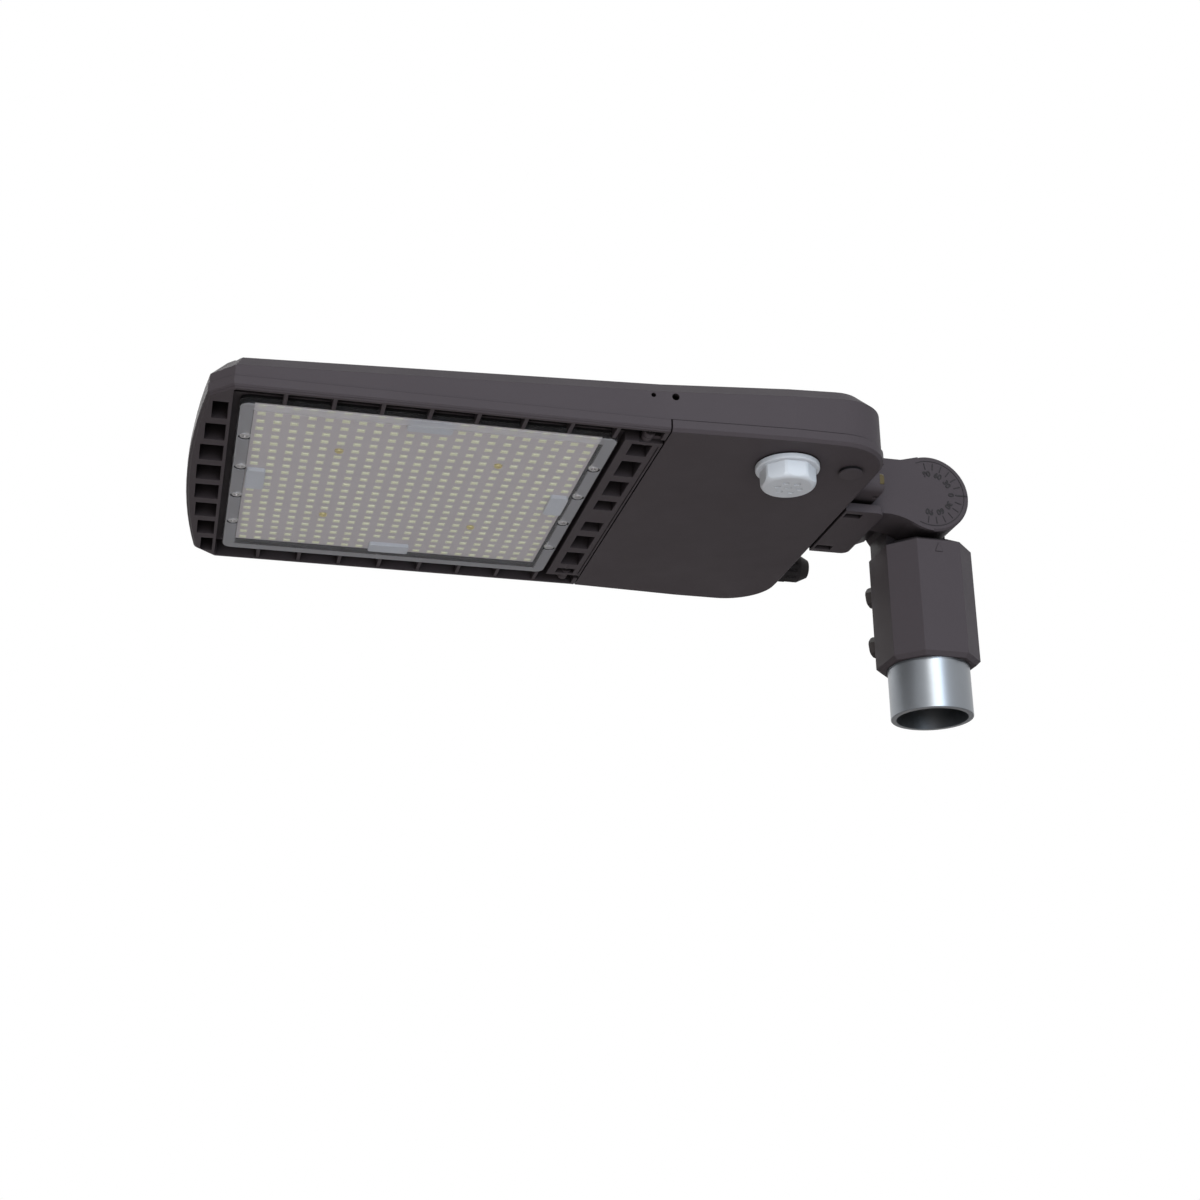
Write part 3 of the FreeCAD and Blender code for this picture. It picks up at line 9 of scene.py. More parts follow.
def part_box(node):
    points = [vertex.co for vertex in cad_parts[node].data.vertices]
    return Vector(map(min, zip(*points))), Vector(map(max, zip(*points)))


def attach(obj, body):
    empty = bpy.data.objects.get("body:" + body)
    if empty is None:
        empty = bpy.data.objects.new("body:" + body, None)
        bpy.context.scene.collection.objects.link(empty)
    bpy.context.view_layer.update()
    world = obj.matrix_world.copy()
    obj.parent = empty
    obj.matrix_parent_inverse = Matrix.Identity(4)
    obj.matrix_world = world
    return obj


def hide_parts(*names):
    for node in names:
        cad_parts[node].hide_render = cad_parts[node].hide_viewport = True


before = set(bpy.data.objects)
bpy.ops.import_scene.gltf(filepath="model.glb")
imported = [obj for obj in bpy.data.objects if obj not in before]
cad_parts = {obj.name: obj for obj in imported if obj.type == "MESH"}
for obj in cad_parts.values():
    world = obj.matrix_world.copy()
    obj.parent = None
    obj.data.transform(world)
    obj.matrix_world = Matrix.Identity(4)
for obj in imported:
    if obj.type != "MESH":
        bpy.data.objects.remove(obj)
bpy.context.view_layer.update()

bl_info = {
    "name": "Shoebox area light",
    "version": (1, 0, 0),
    "blender": (4, 5, 0),
    "location": "View3D > Sidebar > Area light",
    "description": "Dresses the area light on its slip fitter and lights it as in a studio",
    "category": "Object",
}

# Places and levels of the stage, in metres and degrees.
FLOOR_REACH = 6.0
FLOOR_LEVEL = -1.35
FLOOR_TONES = ((0.80, 0.76, 0.74, 1.0), (0.84, 0.80, 0.78, 1.0))
SKY_LIGHT = 0.2
SKY_SEEN = 1.0
# name, place, target, width and height, watts, tint
LAMPS = (
    ("key", (0.05, -2.8, 0.40), (-0.1, 0.0, 0.1), (0.75, 2.2), 52.0, (0.76, 0.88, 1.0)),
    ("strip", (-0.66, -2.5, 1.0), (0.0, 0.0, 0.02), (0.4, 1.3), 16.0, (1.0, 0.95, 0.86)),
    ("fill", (-1.0, -2.2, -0.7), (-0.4, 0.0, 0.15), (1.2, 1.2), 14.0, (1.0, 0.93, 0.88)),
    ("back", (-0.6, 2.4, 1.7), (-0.3, 0.0, 0.15), (1.8, 1.2), 20.0, (1.0, 1.0, 1.0)),
)
CAMERA_PLACE = (-0.54248, -1.15956, -0.3826)
CAMERA_AZIMUTH = 14.14
CAMERA_ELEVATION = 20.85
CAMERA_ROLL = -0.64
CAMERA_LENS = 53.634
CAMERA_SENSOR = 36.0

# The degree scale on the near face of the arm's disc.
SCALE_CENTRE = (-0.002, -0.0338, 0.166)
SCALE_LABELS = ("90", "60", "30", "0", "30", "60", "90")
FIRST_LABEL_ANGLE = 100.5
LABEL_STEP = 33.5
TICK_STEP = 16.75
TICKS_EACH_WAY = 6
FONT_FILL = 1.35
TICK_HALF_WIDTH = 0.0003
ZERO_HALF_WIDTH = 0.00045
ZERO_REACH = 0.003
RING_HALF_WIDTH = 0.00022
RING_HALF_TURN = 115.0
RING_STEPS = 72

# Shares of an LED's height and width that its layers take.
# The pale pad round each LED is partly the board's bare pad and partly a painted highlight.
PAD_AND_HIGHLIGHT_SHARE = 0.2
FRAME_FROM = 0.9
FRAME_TO = 0.1
FACE_SHARE = 0.85
FACE_FROM = 0.8
FACE_BEVEL = 0.00005

# Haze of the lens: the window, the rim, the step between them and the side walls.
HAZE_WINDOW = 0.14
HAZE_RIM = 0.45
HAZE_STEP = 0.0006
HAZE_WALLS = 0.06
OUTER_FACE_DEPTH = (0.0002, 0.0008)


def low(node):
    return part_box(node)[0]


def high(node):
    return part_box(node)[1]


def middle(node):
    a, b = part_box(node)
    return Vector(((a[0] + b[0]) / 2, (a[1] + b[1]) / 2, (a[2] + b[2]) / 2))


# ---------------------------------------------------------------- settings
def length(name, description, default):
    return FloatProperty(name=name, description=description, default=default,
                         subtype="DISTANCE", unit="LENGTH")


def colour(name, description, default):
    return FloatVectorProperty(name=name, description=description, default=default, subtype="COLOR",
                               size=3, min=0.0, max=1.0)


class AreaLightFinish(bpy.types.PropertyGroup):
    """Colours of the light's finishes."""
    coat: colour("Powder coat", "Dark bronze powder coat of the castings", (0.066, 0.0565, 0.0620))
    board: colour("LED board", "Solder mask of the LED board", (0.54, 0.51, 0.53))
    phosphor: colour("Phosphor", "Yellow face of each LED", (0.80, 0.80, 0.26))
    pipe: colour("Pipe", "Galvanised steel of the tenon", (0.22, 0.235, 0.255))
    # Set far darker than yellow zinc: the colour carries painted shade for the arm bolts and washers under
    # the flange.
    zinc: colour("Yellow zinc", "Passivated zinc on the bolts", (0.07, 0.056, 0.030))
    steel: colour("Stainless steel", "Plain screws, pins and clips", (0.56, 0.56, 0.57))
    brass: colour("Brass", "Board screws and earth screw", (0.74, 0.66, 0.30))
    white: colour("White plastic", "Sensor housing", (0.56, 0.585, 0.62))
    dark: colour("Dark plastic", "Gland and switch", (0.020, 0.018, 0.019))
    rubber: colour("Black rubber", "Seals", (0.010, 0.010, 0.011))
    silicone: colour("Clear silicone", "Spacer pads under the lens", (0.52, 0.55, 0.60))
    lens: colour("Lens", "Haze of the clear cover", (0.62, 0.63, 0.67))
    marks: colour("Scale marks", "Raised numbers and ticks of the degree scale", (0.016, 0.014, 0.015))


class AreaLightSizes(bpy.types.PropertyGroup):
    """Sizes of the pieces that are made here."""
    led_count: IntProperty(name="LEDs per row", description="LEDs along each side of the board",
                           default=21, min=1)
    led_pitch_x: length("LED pitch along", "Distance of neighbouring LEDs along the light", 0.01095)
    led_pitch_y: length("LED pitch across", "Distance of neighbouring LEDs across the light", 0.011)
    led_length: length("LED length", "Length of one LED package", 0.0035)
    led_width: length("LED width", "Width of one LED package", 0.0028)
    led_height: length("LED height", "Height of one LED package", 0.0007)
    led_pad_and_highlight: length("LED pad", "Bare pad that shows round each LED", 0.0009)
    # The pad's width is partly a bare pad and partly a painted highlight round each LED.
    number_height: length("Number height", "Height of the numbers on the degree scale", 0.0046)
    number_ring: length("Number ring", "Radius on which the numbers stand", 0.0155)
    number_weight: length("Number weight", "How far the strokes of the numbers are fattened", 0.00017)
    tick_inner: length("Tick inner radius", "Where the ticks begin", 0.0192)
    tick_outer: length("Tick outer radius", "Where the ticks end", 0.0246)
    scale_ring: length("Scale ring", "Radius of the fine ring round the ticks", 0.0262)
    lens_rim: length("Lens rim", "Width of the lens's flat rim", 0.0095)
    mark_height: length("Mark height", "How far the scale's marks stand off the disc", 0.00035)


def finish():
    return bpy.context.scene.area_light_finish


def sizes():
    return bpy.context.scene.area_light_sizes


# ---------------------------------------------------------------- shader groups
class Tree:
    """Small helper that adds nodes and links to one node tree."""

    def __init__(self, tree):
        self.tree = tree
        self.column = 0

    def node(self, kind, **values):
        node = self.tree.nodes.new(kind)
        node.location = (self.column * 190, -((self.column * 67) % 400))
        self.column += 1
        for key, value in values.items():
            if hasattr(node, key):
                setattr(node, key, value)
            else:
                node.inputs[key.replace("_", " ")].default_value = value
        return node

    def link(self, out, into):
        self.tree.links.new(out, into)


def new_group(name, inputs, outputs):
    group = bpy.data.node_groups.new(name, "ShaderNodeTree")
    for label, kind, default in inputs:
        socket = group.interface.new_socket(name=label, in_out="INPUT", socket_type=kind)
        socket.default_value = default
    for label, kind in outputs:
        group.interface.new_socket(name=label, in_out="OUTPUT", socket_type=kind)
    tree = Tree(group)
    start = tree.node("NodeGroupInput")
    end = tree.node("NodeGroupOutput")
    return group, tree, start, end


def grain_group():
    """Fine orange-peel of a powder coat or moulding: a height and a tone."""
    group = bpy.data.node_groups.get("grain")
    if group:
        return group
    group, tree, start, end = new_group(
        "grain",
        [("Scale", "NodeSocketFloat", 900.0), ("Blotch", "NodeSocketFloat", 9.0),
         ("Contrast", "NodeSocketFloat", 0.1)],
        [("Height", "NodeSocketFloat"), ("Tone", "NodeSocketFloat")])
    place = tree.node("ShaderNodeTexCoord")
    fine = tree.node("ShaderNodeTexNoise", Detail=2.0, Roughness=0.6)
    tree.link(place.outputs["Object"], fine.inputs["Vector"])
    tree.link(start.outputs["Scale"], fine.inputs["Scale"])
    broad = tree.node("ShaderNodeTexNoise", Detail=3.0, Roughness=0.55)
    tree.link(place.outputs["Object"], broad.inputs["Vector"])
    tree.link(start.outputs["Blotch"], broad.inputs["Scale"])
    centred = tree.node("ShaderNodeMath", operation="SUBTRACT")
    tree.link(broad.outputs["Fac"], centred.inputs[0])
    centred.inputs[1].default_value = 0.5
    scaled = tree.node("ShaderNodeMath", operation="MULTIPLY_ADD")
    tree.link(centred.outputs[0], scaled.inputs[0])
    tree.link(start.outputs["Contrast"], scaled.inputs[1])
    scaled.inputs[2].default_value = 1.0
    tree.link(fine.outputs["Fac"], end.inputs["Height"])
    tree.link(scaled.outputs[0], end.inputs["Tone"])
    return group


def edge_wear_and_highlight_group():
    """Mask of the sharp outer edges, broken up by noise; it lightens the edges, partly as edge wear and
    partly as a painted highlight.
    """
    group = bpy.data.node_groups.get("edge_wear_and_painted_highlight")
    if group:
        return group
    group, tree, start, end = new_group(
        "edge_wear_and_painted_highlight",
        [("Reach", "NodeSocketFloat", 0.55), ("Amount", "NodeSocketFloat", 0.5),
         ("Scale", "NodeSocketFloat", 60.0)],
        [("Mask", "NodeSocketFloat")])
    shape = tree.node("ShaderNodeNewGeometry")
    place = tree.node("ShaderNodeTexCoord")
    noise = tree.node("ShaderNodeTexNoise", Detail=4.0, Roughness=0.7)
    tree.link(place.outputs["Object"], noise.inputs["Vector"])
    tree.link(start.outputs["Scale"], noise.inputs["Scale"])
    above = tree.node("ShaderNodeMapRange", From_Max=0.75)
    tree.link(shape.outputs["Pointiness"], above.inputs["Value"])
    tree.link(start.outputs["Reach"], above.inputs["From Min"])
    broken = tree.node("ShaderNodeMath", operation="MULTIPLY")
    tree.link(above.outputs["Result"], broken.inputs[0])
    tree.link(noise.outputs["Fac"], broken.inputs[1])
    amount = tree.node("ShaderNodeMath", operation="MULTIPLY")
    tree.link(broken.outputs[0], amount.inputs[0])
    tree.link(start.outputs["Amount"], amount.inputs[1])
    amount.use_clamp = True
    tree.link(amount.outputs[0], end.inputs["Mask"])
    return group


def smudge_group():
    """Slow change of roughness, as handling leaves on a surface."""
    group = bpy.data.node_groups.get("smudges")
    if group:
        return group
    group, tree, start, end = new_group(
        "smudges",
        [("Scale", "NodeSocketFloat", 25.0), ("Low", "NodeSocketFloat", 0.4),
         ("High", "NodeSocketFloat", 0.6)],
        [("Roughness", "NodeSocketFloat")])
    place = tree.node("ShaderNodeTexCoord")
    noise = tree.node("ShaderNodeTexNoise", Detail=5.0, Roughness=0.6)
    tree.link(place.outputs["Object"], noise.inputs["Vector"])
    tree.link(start.outputs["Scale"], noise.inputs["Scale"])
    spread = tree.node("ShaderNodeMapRange", From_Min=0.3, From_Max=0.7)
    tree.link(noise.outputs["Fac"], spread.inputs["Value"])
    tree.link(start.outputs["Low"], spread.inputs["To Min"])
    tree.link(start.outputs["High"], spread.inputs["To Max"])
    tree.link(spread.outputs["Result"], end.inputs["Roughness"])
    return group


# ---------------------------------------------------------------- materials
def surface(name, rgb, low_rough, high_rough, metallic=0.0, grain=900.0, blotch=9.0, contrast=0.12,
            bump=0.00002, edge_wear_and_highlight=0.0, edge_wear_and_highlight_rgb=(0.5, 0.5, 0.5), smudge=25.0, ior=1.3, level=0.5,
            rounding=0.0, painted_recess_shade=0.0):
    """Material whose colour, roughness and bump vary through the shared groups; with a recess distance,
    ambient occlusion darkens the colour in recesses and creases as painted shade.

    It carries a label of its own, since the frame brings plain materials named like its slots.
    """
    label = "shaded_" + name
    material = bpy.data.materials.get(label)
    if material:
        return material
    material = bpy.data.materials.new(label)
    material.use_nodes = True
    tree = Tree(material.node_tree)
    shader = material.node_tree.nodes["Principled BSDF"]
    shader.inputs["Metallic"].default_value = metallic
    shader.inputs["IOR"].default_value = ior
    shader.inputs["Specular IOR Level"].default_value = level
    texture = tree.node("ShaderNodeGroup", node_tree=grain_group())
    texture.inputs["Scale"].default_value = grain
    texture.inputs["Blotch"].default_value = blotch
    texture.inputs["Contrast"].default_value = contrast
    tint = tree.node("ShaderNodeMix", data_type="RGBA", blend_type="MULTIPLY")
    tint.inputs["Factor"].default_value = 1.0
    tint.inputs["A"].default_value = (*rgb, 1.0)
    tree.link(texture.outputs["Tone"], tint.inputs["B"])
    out = tint.outputs["Result"]
    # Sharp edges are lightened: partly edge wear, partly a painted highlight.
    if edge_wear_and_highlight:
        edges = tree.node("ShaderNodeGroup", node_tree=edge_wear_and_highlight_group())
        edges.inputs["Amount"].default_value = edge_wear_and_highlight
        worn_and_lit = tree.node("ShaderNodeMix", data_type="RGBA")
        tree.link(edges.outputs["Mask"], worn_and_lit.inputs["Factor"])
        tree.link(out, worn_and_lit.inputs["A"])
        worn_and_lit.inputs["B"].default_value = (*edge_wear_and_highlight_rgb, 1.0)
        out = worn_and_lit.outputs["Result"]
    # Painted shade: ambient occlusion darkens the base colour in slots, vents, pockets and creases between
    # parts.
    if painted_recess_shade:
        recess_occlusion = tree.node("ShaderNodeAmbientOcclusion", samples=6, Distance=painted_recess_shade)
        shade = tree.node("ShaderNodeMapRange", From_Min=0.15, From_Max=0.75, To_Min=0.12, To_Max=1.0)
        tree.link(recess_occlusion.outputs["AO"], shade.inputs["Value"])
        painted_shade_multiply = tree.node("ShaderNodeMix", data_type="RGBA", blend_type="MULTIPLY")
        painted_shade_multiply.inputs["Factor"].default_value = 1.0
        tree.link(out, painted_shade_multiply.inputs["A"])
        tree.link(shade.outputs["Result"], painted_shade_multiply.inputs["B"])
        out = painted_shade_multiply.outputs["Result"]
    tree.link(out, shader.inputs["Base Color"])
    marks = tree.node("ShaderNodeGroup", node_tree=smudge_group())
    marks.inputs["Scale"].default_value = smudge
    marks.inputs["Low"].default_value = low_rough
    marks.inputs["High"].default_value = high_rough
    tree.link(marks.outputs["Roughness"], shader.inputs["Roughness"])
    relief = tree.node("ShaderNodeBump", Distance=bump, Strength=1.0)
    tree.link(texture.outputs["Height"], relief.inputs["Height"])
    if rounding:
        soft = tree.node("ShaderNodeBevel", samples=4, Radius=rounding)
        tree.link(soft.outputs["Normal"], relief.inputs["Normal"])
    tree.link(relief.outputs["Normal"], shader.inputs["Normal"])
    return material


# The coat's sharp edges are lightened, partly as edge wear and partly as a painted highlight.
def coat():
    # The coat's base colour is darkened in its recesses as painted shade.
    return surface("bronze_powder_coat", finish().coat, 0.44, 0.54, grain=1400.0, contrast=0.10, bump=0.00004,
                   edge_wear_and_highlight=0.05, edge_wear_and_highlight_rgb=(0.10, 0.09, 0.09), ior=1.2, level=0.18, rounding=0.0007, painted_recess_shade=0.03)


def galvanised():
    return surface("galvanised_pipe", finish().pipe, 0.34, 0.40, metallic=1.0, grain=260.0, blotch=40.0,
                   contrast=0.16, bump=0.00002)


def yellow_zinc_in_painted_shade():
    # The zinc's colour is darkened as painted shade.
    return surface("yellow_zinc_in_painted_shade", finish().zinc, 0.28, 0.42, metallic=1.0, blotch=120.0, contrast=0.35)


def black_oxide():
    return surface("black_oxide", (0.06, 0.055, 0.055), 0.4, 0.55, metallic=1.0, blotch=80.0)


def stainless():
    return surface("stainless_steel", finish().steel, 0.22, 0.34, metallic=1.0, blotch=60.0)


def brass():
    return surface("brass_screws", finish().brass, 0.25, 0.4, metallic=1.0, blotch=90.0)


def white_plastic():
    return surface("white_plastic", finish().white, 0.45, 0.55, grain=700.0, contrast=0.03,
                   bump=0.00001, level=0.3, rounding=0.0005)


def dark_plastic():
    return surface("dark_plastic", finish().dark, 0.45, 0.6, grain=1100.0, contrast=0.12,
                   bump=0.00003, level=0.3, rounding=0.0003)


def plug_plastic():
    return surface("plug_plastic", finish().coat, 0.34, 0.42, grain=1200.0, contrast=0.08,
                   bump=0.00003, ior=1.2, level=0.18, rounding=0.0003)


def black_rubber():
    return surface("black_rubber", finish().rubber, 0.65, 0.8, grain=1500.0, contrast=0.12,
                   bump=0.00003, ior=1.15)


def clear_silicone():
    return surface("clear_silicone", finish().silicone, 0.35, 0.5, contrast=0.08)


def zinc_sheet():
    return surface("zinc_sheet", (0.6, 0.61, 0.62), 0.3, 0.5, metallic=1.0, blotch=45.0, contrast=0.2)


def driver_case():
    return surface("driver_case", (0.64, 0.64, 0.65), 0.35, 0.5, metallic=1.0, blotch=30.0)


def grey_plastic():
    return surface("grey_plastic", (0.30, 0.31, 0.33), 0.45, 0.6, contrast=0.08)


def orange_plastic():
    return surface("orange_plastic", (0.70, 0.22, 0.03), 0.4, 0.5, contrast=0.08)


def red_insulation():
    return surface("red_insulation", (0.45, 0.03, 0.02), 0.45, 0.6, contrast=0.1)


def board_mask():
    return surface("board_mask", finish().board, 0.5, 0.6, blotch=30.0, contrast=0.05)


def phosphor():
    return surface("led_phosphor", finish().phosphor, 0.35, 0.5, grain=3000.0, contrast=0.12)


def led_frame_and_highlight_pad():
    # Pale colour of the LED frames and the pads round them; on the pads it is partly a painted highlight.
    return surface("led_frame_and_highlight_pad", (0.78, 0.80, 0.62), 0.35, 0.45, contrast=0.05)


def scale_marks():
    return surface("scale_marks", finish().marks, 0.4, 0.5, contrast=0.06, grain=1200.0)


def clear_lens():
    """Clear moulded cover with a faint haze, denser over its flat rim."""
    material = bpy.data.materials.get("clear_lens")
    if material:
        return material
    material = bpy.data.materials.new("clear_lens")
    material.use_nodes = True
    tree = Tree(material.node_tree)
    shader = material.node_tree.nodes["Principled BSDF"]
    shader.inputs["Base Color"].default_value = (*finish().lens, 1.0)
    shader.inputs["Roughness"].default_value = 0.1
    shader.inputs["IOR"].default_value = 1.45
    place = tree.node("ShaderNodeTexCoord")
    parts = tree.node("ShaderNodeSeparateXYZ")
    tree.link(place.outputs["Object"], parts.inputs[0])
    centre = middle("lens_cover")
    corner = high("lens_cover")
    reaches = []
    for axis in (0, 1):
        shifted = tree.node("ShaderNodeMath", operation="SUBTRACT")
        tree.link(parts.outputs[axis], shifted.inputs[0])
        shifted.inputs[1].default_value = centre[axis]
        plain = tree.node("ShaderNodeMath", operation="ABSOLUTE")
        tree.link(shifted.outputs[0], plain.inputs[0])
        past = tree.node("ShaderNodeMath", operation="SUBTRACT")
        tree.link(plain.outputs[0], past.inputs[0])
        past.inputs[1].default_value = corner[axis] - centre[axis] - sizes().lens_rim
        reaches.append(past)
    nearest = tree.node("ShaderNodeMath", operation="MAXIMUM")
    tree.link(reaches[0].outputs[0], nearest.inputs[0])
    tree.link(reaches[1].outputs[0], nearest.inputs[1])
    haze = tree.node("ShaderNodeMapRange", From_Min=-HAZE_STEP, From_Max=HAZE_STEP,
                     To_Min=HAZE_WINDOW, To_Max=HAZE_RIM)
    tree.link(nearest.outputs[0], haze.inputs["Value"])
    outer = tree.node("ShaderNodeMapRange", From_Min=low("lens_cover")[2] + OUTER_FACE_DEPTH[0],
                      From_Max=low("lens_cover")[2] + OUTER_FACE_DEPTH[1],
                      To_Min=1.0, To_Max=HAZE_WALLS)
    tree.link(parts.outputs[2], outer.inputs["Value"])
    seen = tree.node("ShaderNodeMath", operation="MULTIPLY")
    tree.link(haze.outputs["Result"], seen.inputs[0])
    tree.link(outer.outputs["Result"], seen.inputs[1])
    tree.link(seen.outputs[0], shader.inputs["Alpha"])
    wave = tree.node("ShaderNodeGroup", node_tree=grain_group())
    wave.inputs["Scale"].default_value = 30.0
    relief = tree.node("ShaderNodeBump", Distance=0.00002, Strength=1.0)
    tree.link(wave.outputs["Height"], relief.inputs["Height"])
    tree.link(relief.outputs["Normal"], shader.inputs["Normal"])
    return material


def dress(makers):
    """Gives each CAD node in the list its material."""
    for maker, nodes in makers:
        for name in nodes:
            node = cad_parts[name]
            node.data.materials.clear()
            node.data.materials.append(maker())


# ---------------------------------------------------------------- mesh helpers
def new_piece(name, mesh, body, material):
    piece = bpy.data.objects.new(name, mesh)
    bpy.context.collection.objects.link(piece)
    mesh.materials.append(material)
    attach(piece, body)
    return piece


def bevelled_box(bm, x0, x1, y0, y1, z0, z1, bevel, index=0):
    made = bmesh.ops.create_cube(bm, size=1.0)["verts"]
    for vert in made:
        vert.co = Vector((x0 + (vert.co.x + 0.5) * (x1 - x0), y0 + (vert.co.y + 0.5) * (y1 - y0),
                          z0 + (vert.co.z + 0.5) * (z1 - z0)))
    edges = list({edge for vert in made for edge in vert.link_edges})
    faces = {face for vert in made for face in vert.link_faces}
    if bevel:
        new = bmesh.ops.bevel(bm, geom=edges, offset=bevel, segments=2, affect="EDGES", profile=0.5)
        faces = {f for f in faces if f.is_valid} | set(new["faces"])
    for face in faces:
        face.material_index = index
    return faces


# ---------------------------------------------------------------- pieces
class AREALIGHT_OT_castings(bpy.types.Operator):
    """Powder coat on the housing, the door, the arm and the slip fitter"""
    bl_idname = "arealight.castings"
    bl_label = "Castings"

    def execute(self, context):
        dress([(coat, ("housing", "door", "arm_bracket", "slip_fitter"))])
        return {"FINISHED"}


class AREALIGHT_OT_metal_parts(bpy.types.Operator):
    """Pipe, bolts, washers, screws, pins, clips and sheet metal"""
    bl_idname = "arealight.metal_parts"
    bl_label = "Metal parts"

    def execute(self, context):
        dress([
            (galvanised, ("tenon_stub",)),
            # The arm bolts and washers get a zinc darkened as painted shade.
            (yellow_zinc_in_painted_shade, ("arm_bolts", "arm_washers")),
            (black_oxide, ("set_screws",)),
            (stainless, ("knuckle_bolt", "knuckle_washers", "hinge_pins", "lens_screws", "door_clips",
                         "tray_screws")),
            (brass, ("board_screws", "earth_screw")),
            (zinc_sheet, ("gear_tray",)),
            (driver_case, ("led_driver",))])
        return {"FINISHED"}


class AREALIGHT_OT_plastic_parts(bpy.types.Operator):
    """Seals, gland, sensor, selector and the electrical blocks"""
    bl_idname = "arealight.plastic_parts"
    bl_label = "Plastic and rubber parts"

    def execute(self, context):
        dress([
            (white_plastic, ("sensor", "sensor_nut")),
            (plug_plastic, ("selector_plug",)),
            (dark_plastic, ("selector_switch", "gland_body", "gland_nut", "gland_locknut")),
            (orange_plastic, ("selector_slider",)),
            (grey_plastic, ("surge_protector", "terminal_block")),
            (red_insulation, ("led_leads",)),
            (clear_silicone, ("lens_pads",)),
            (black_rubber, ("lens_gasket", "door_gasket", "arm_gasket", "sensor_gasket", "lead_grommet",
                            "gland_seal", "plug_seal"))])
        return {"FINISHED"}


class AREALIGHT_OT_lens(bpy.types.Operator):
    """Clear cover and the board behind it"""
    bl_idname = "arealight.lens"
    bl_label = "Lens and board"

    def execute(self, context):
        dress([(clear_lens, ("lens_cover",)), (board_mask, ("led_board",))])
        return {"FINISHED"}


class AREALIGHT_OT_leds(bpy.types.Operator):
    """LED packages: a pale frame round each yellow face, on a pale pad that is partly the board's pad and
    partly a painted highlight beside each LED
    """
    bl_idname = "arealight.leds"
    bl_label = "LEDs"

    def execute(self, context):
        s = sizes()
        bm = bmesh.new()
        centre = middle("led_chips")
        top = low("led_board")[2]
        half = (s.led_count - 1) / 2
        a = s.led_length / 2
        b = s.led_width / 2
        h = s.led_height
        m = s.led_pad_and_highlight
        for i, j in self.places(centre, half):
            x = centre.x + (i - half) * s.led_pitch_x
            y = centre.y + (j - half) * s.led_pitch_y
            # Pale pad round the LED: partly bare pad, partly a painted highlight.
            bevelled_box(bm, x - a - m, x + a + m, y - b - m, y + b + m, top - h * PAD_AND_HIGHLIGHT_SHARE, top, 0.0)
            bevelled_box(bm, x - a, x + a, y - b, y + b, top - h * FRAME_FROM, top - h * FRAME_TO, 0.0)
            bevelled_box(bm, x - a * FACE_SHARE, x + a * FACE_SHARE, y - b * FACE_SHARE,
                         y + b * FACE_SHARE, top - h, top - h * FACE_FROM, FACE_BEVEL, 1)
        mesh = bpy.data.meshes.new("led_packages")
        bm.to_mesh(mesh)
        bm.free()
        piece = new_piece("led_packages", mesh, "head", led_frame_and_highlight_pad())
        mesh.materials.append(phosphor())
        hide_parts("led_chips")
        return {"FINISHED"}

    @staticmethod
    def places(centre, half):
        """Steps of the grid that carry a chip in the CAD model."""
        s = sizes()
        found = set()
        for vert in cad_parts["led_chips"].data.vertices:
            i = round((vert.co.x - centre.x) / s.led_pitch_x + half)
            j = round((vert.co.y - centre.y) / s.led_pitch_y + half)
            found.add((i, j))
        return sorted(found)


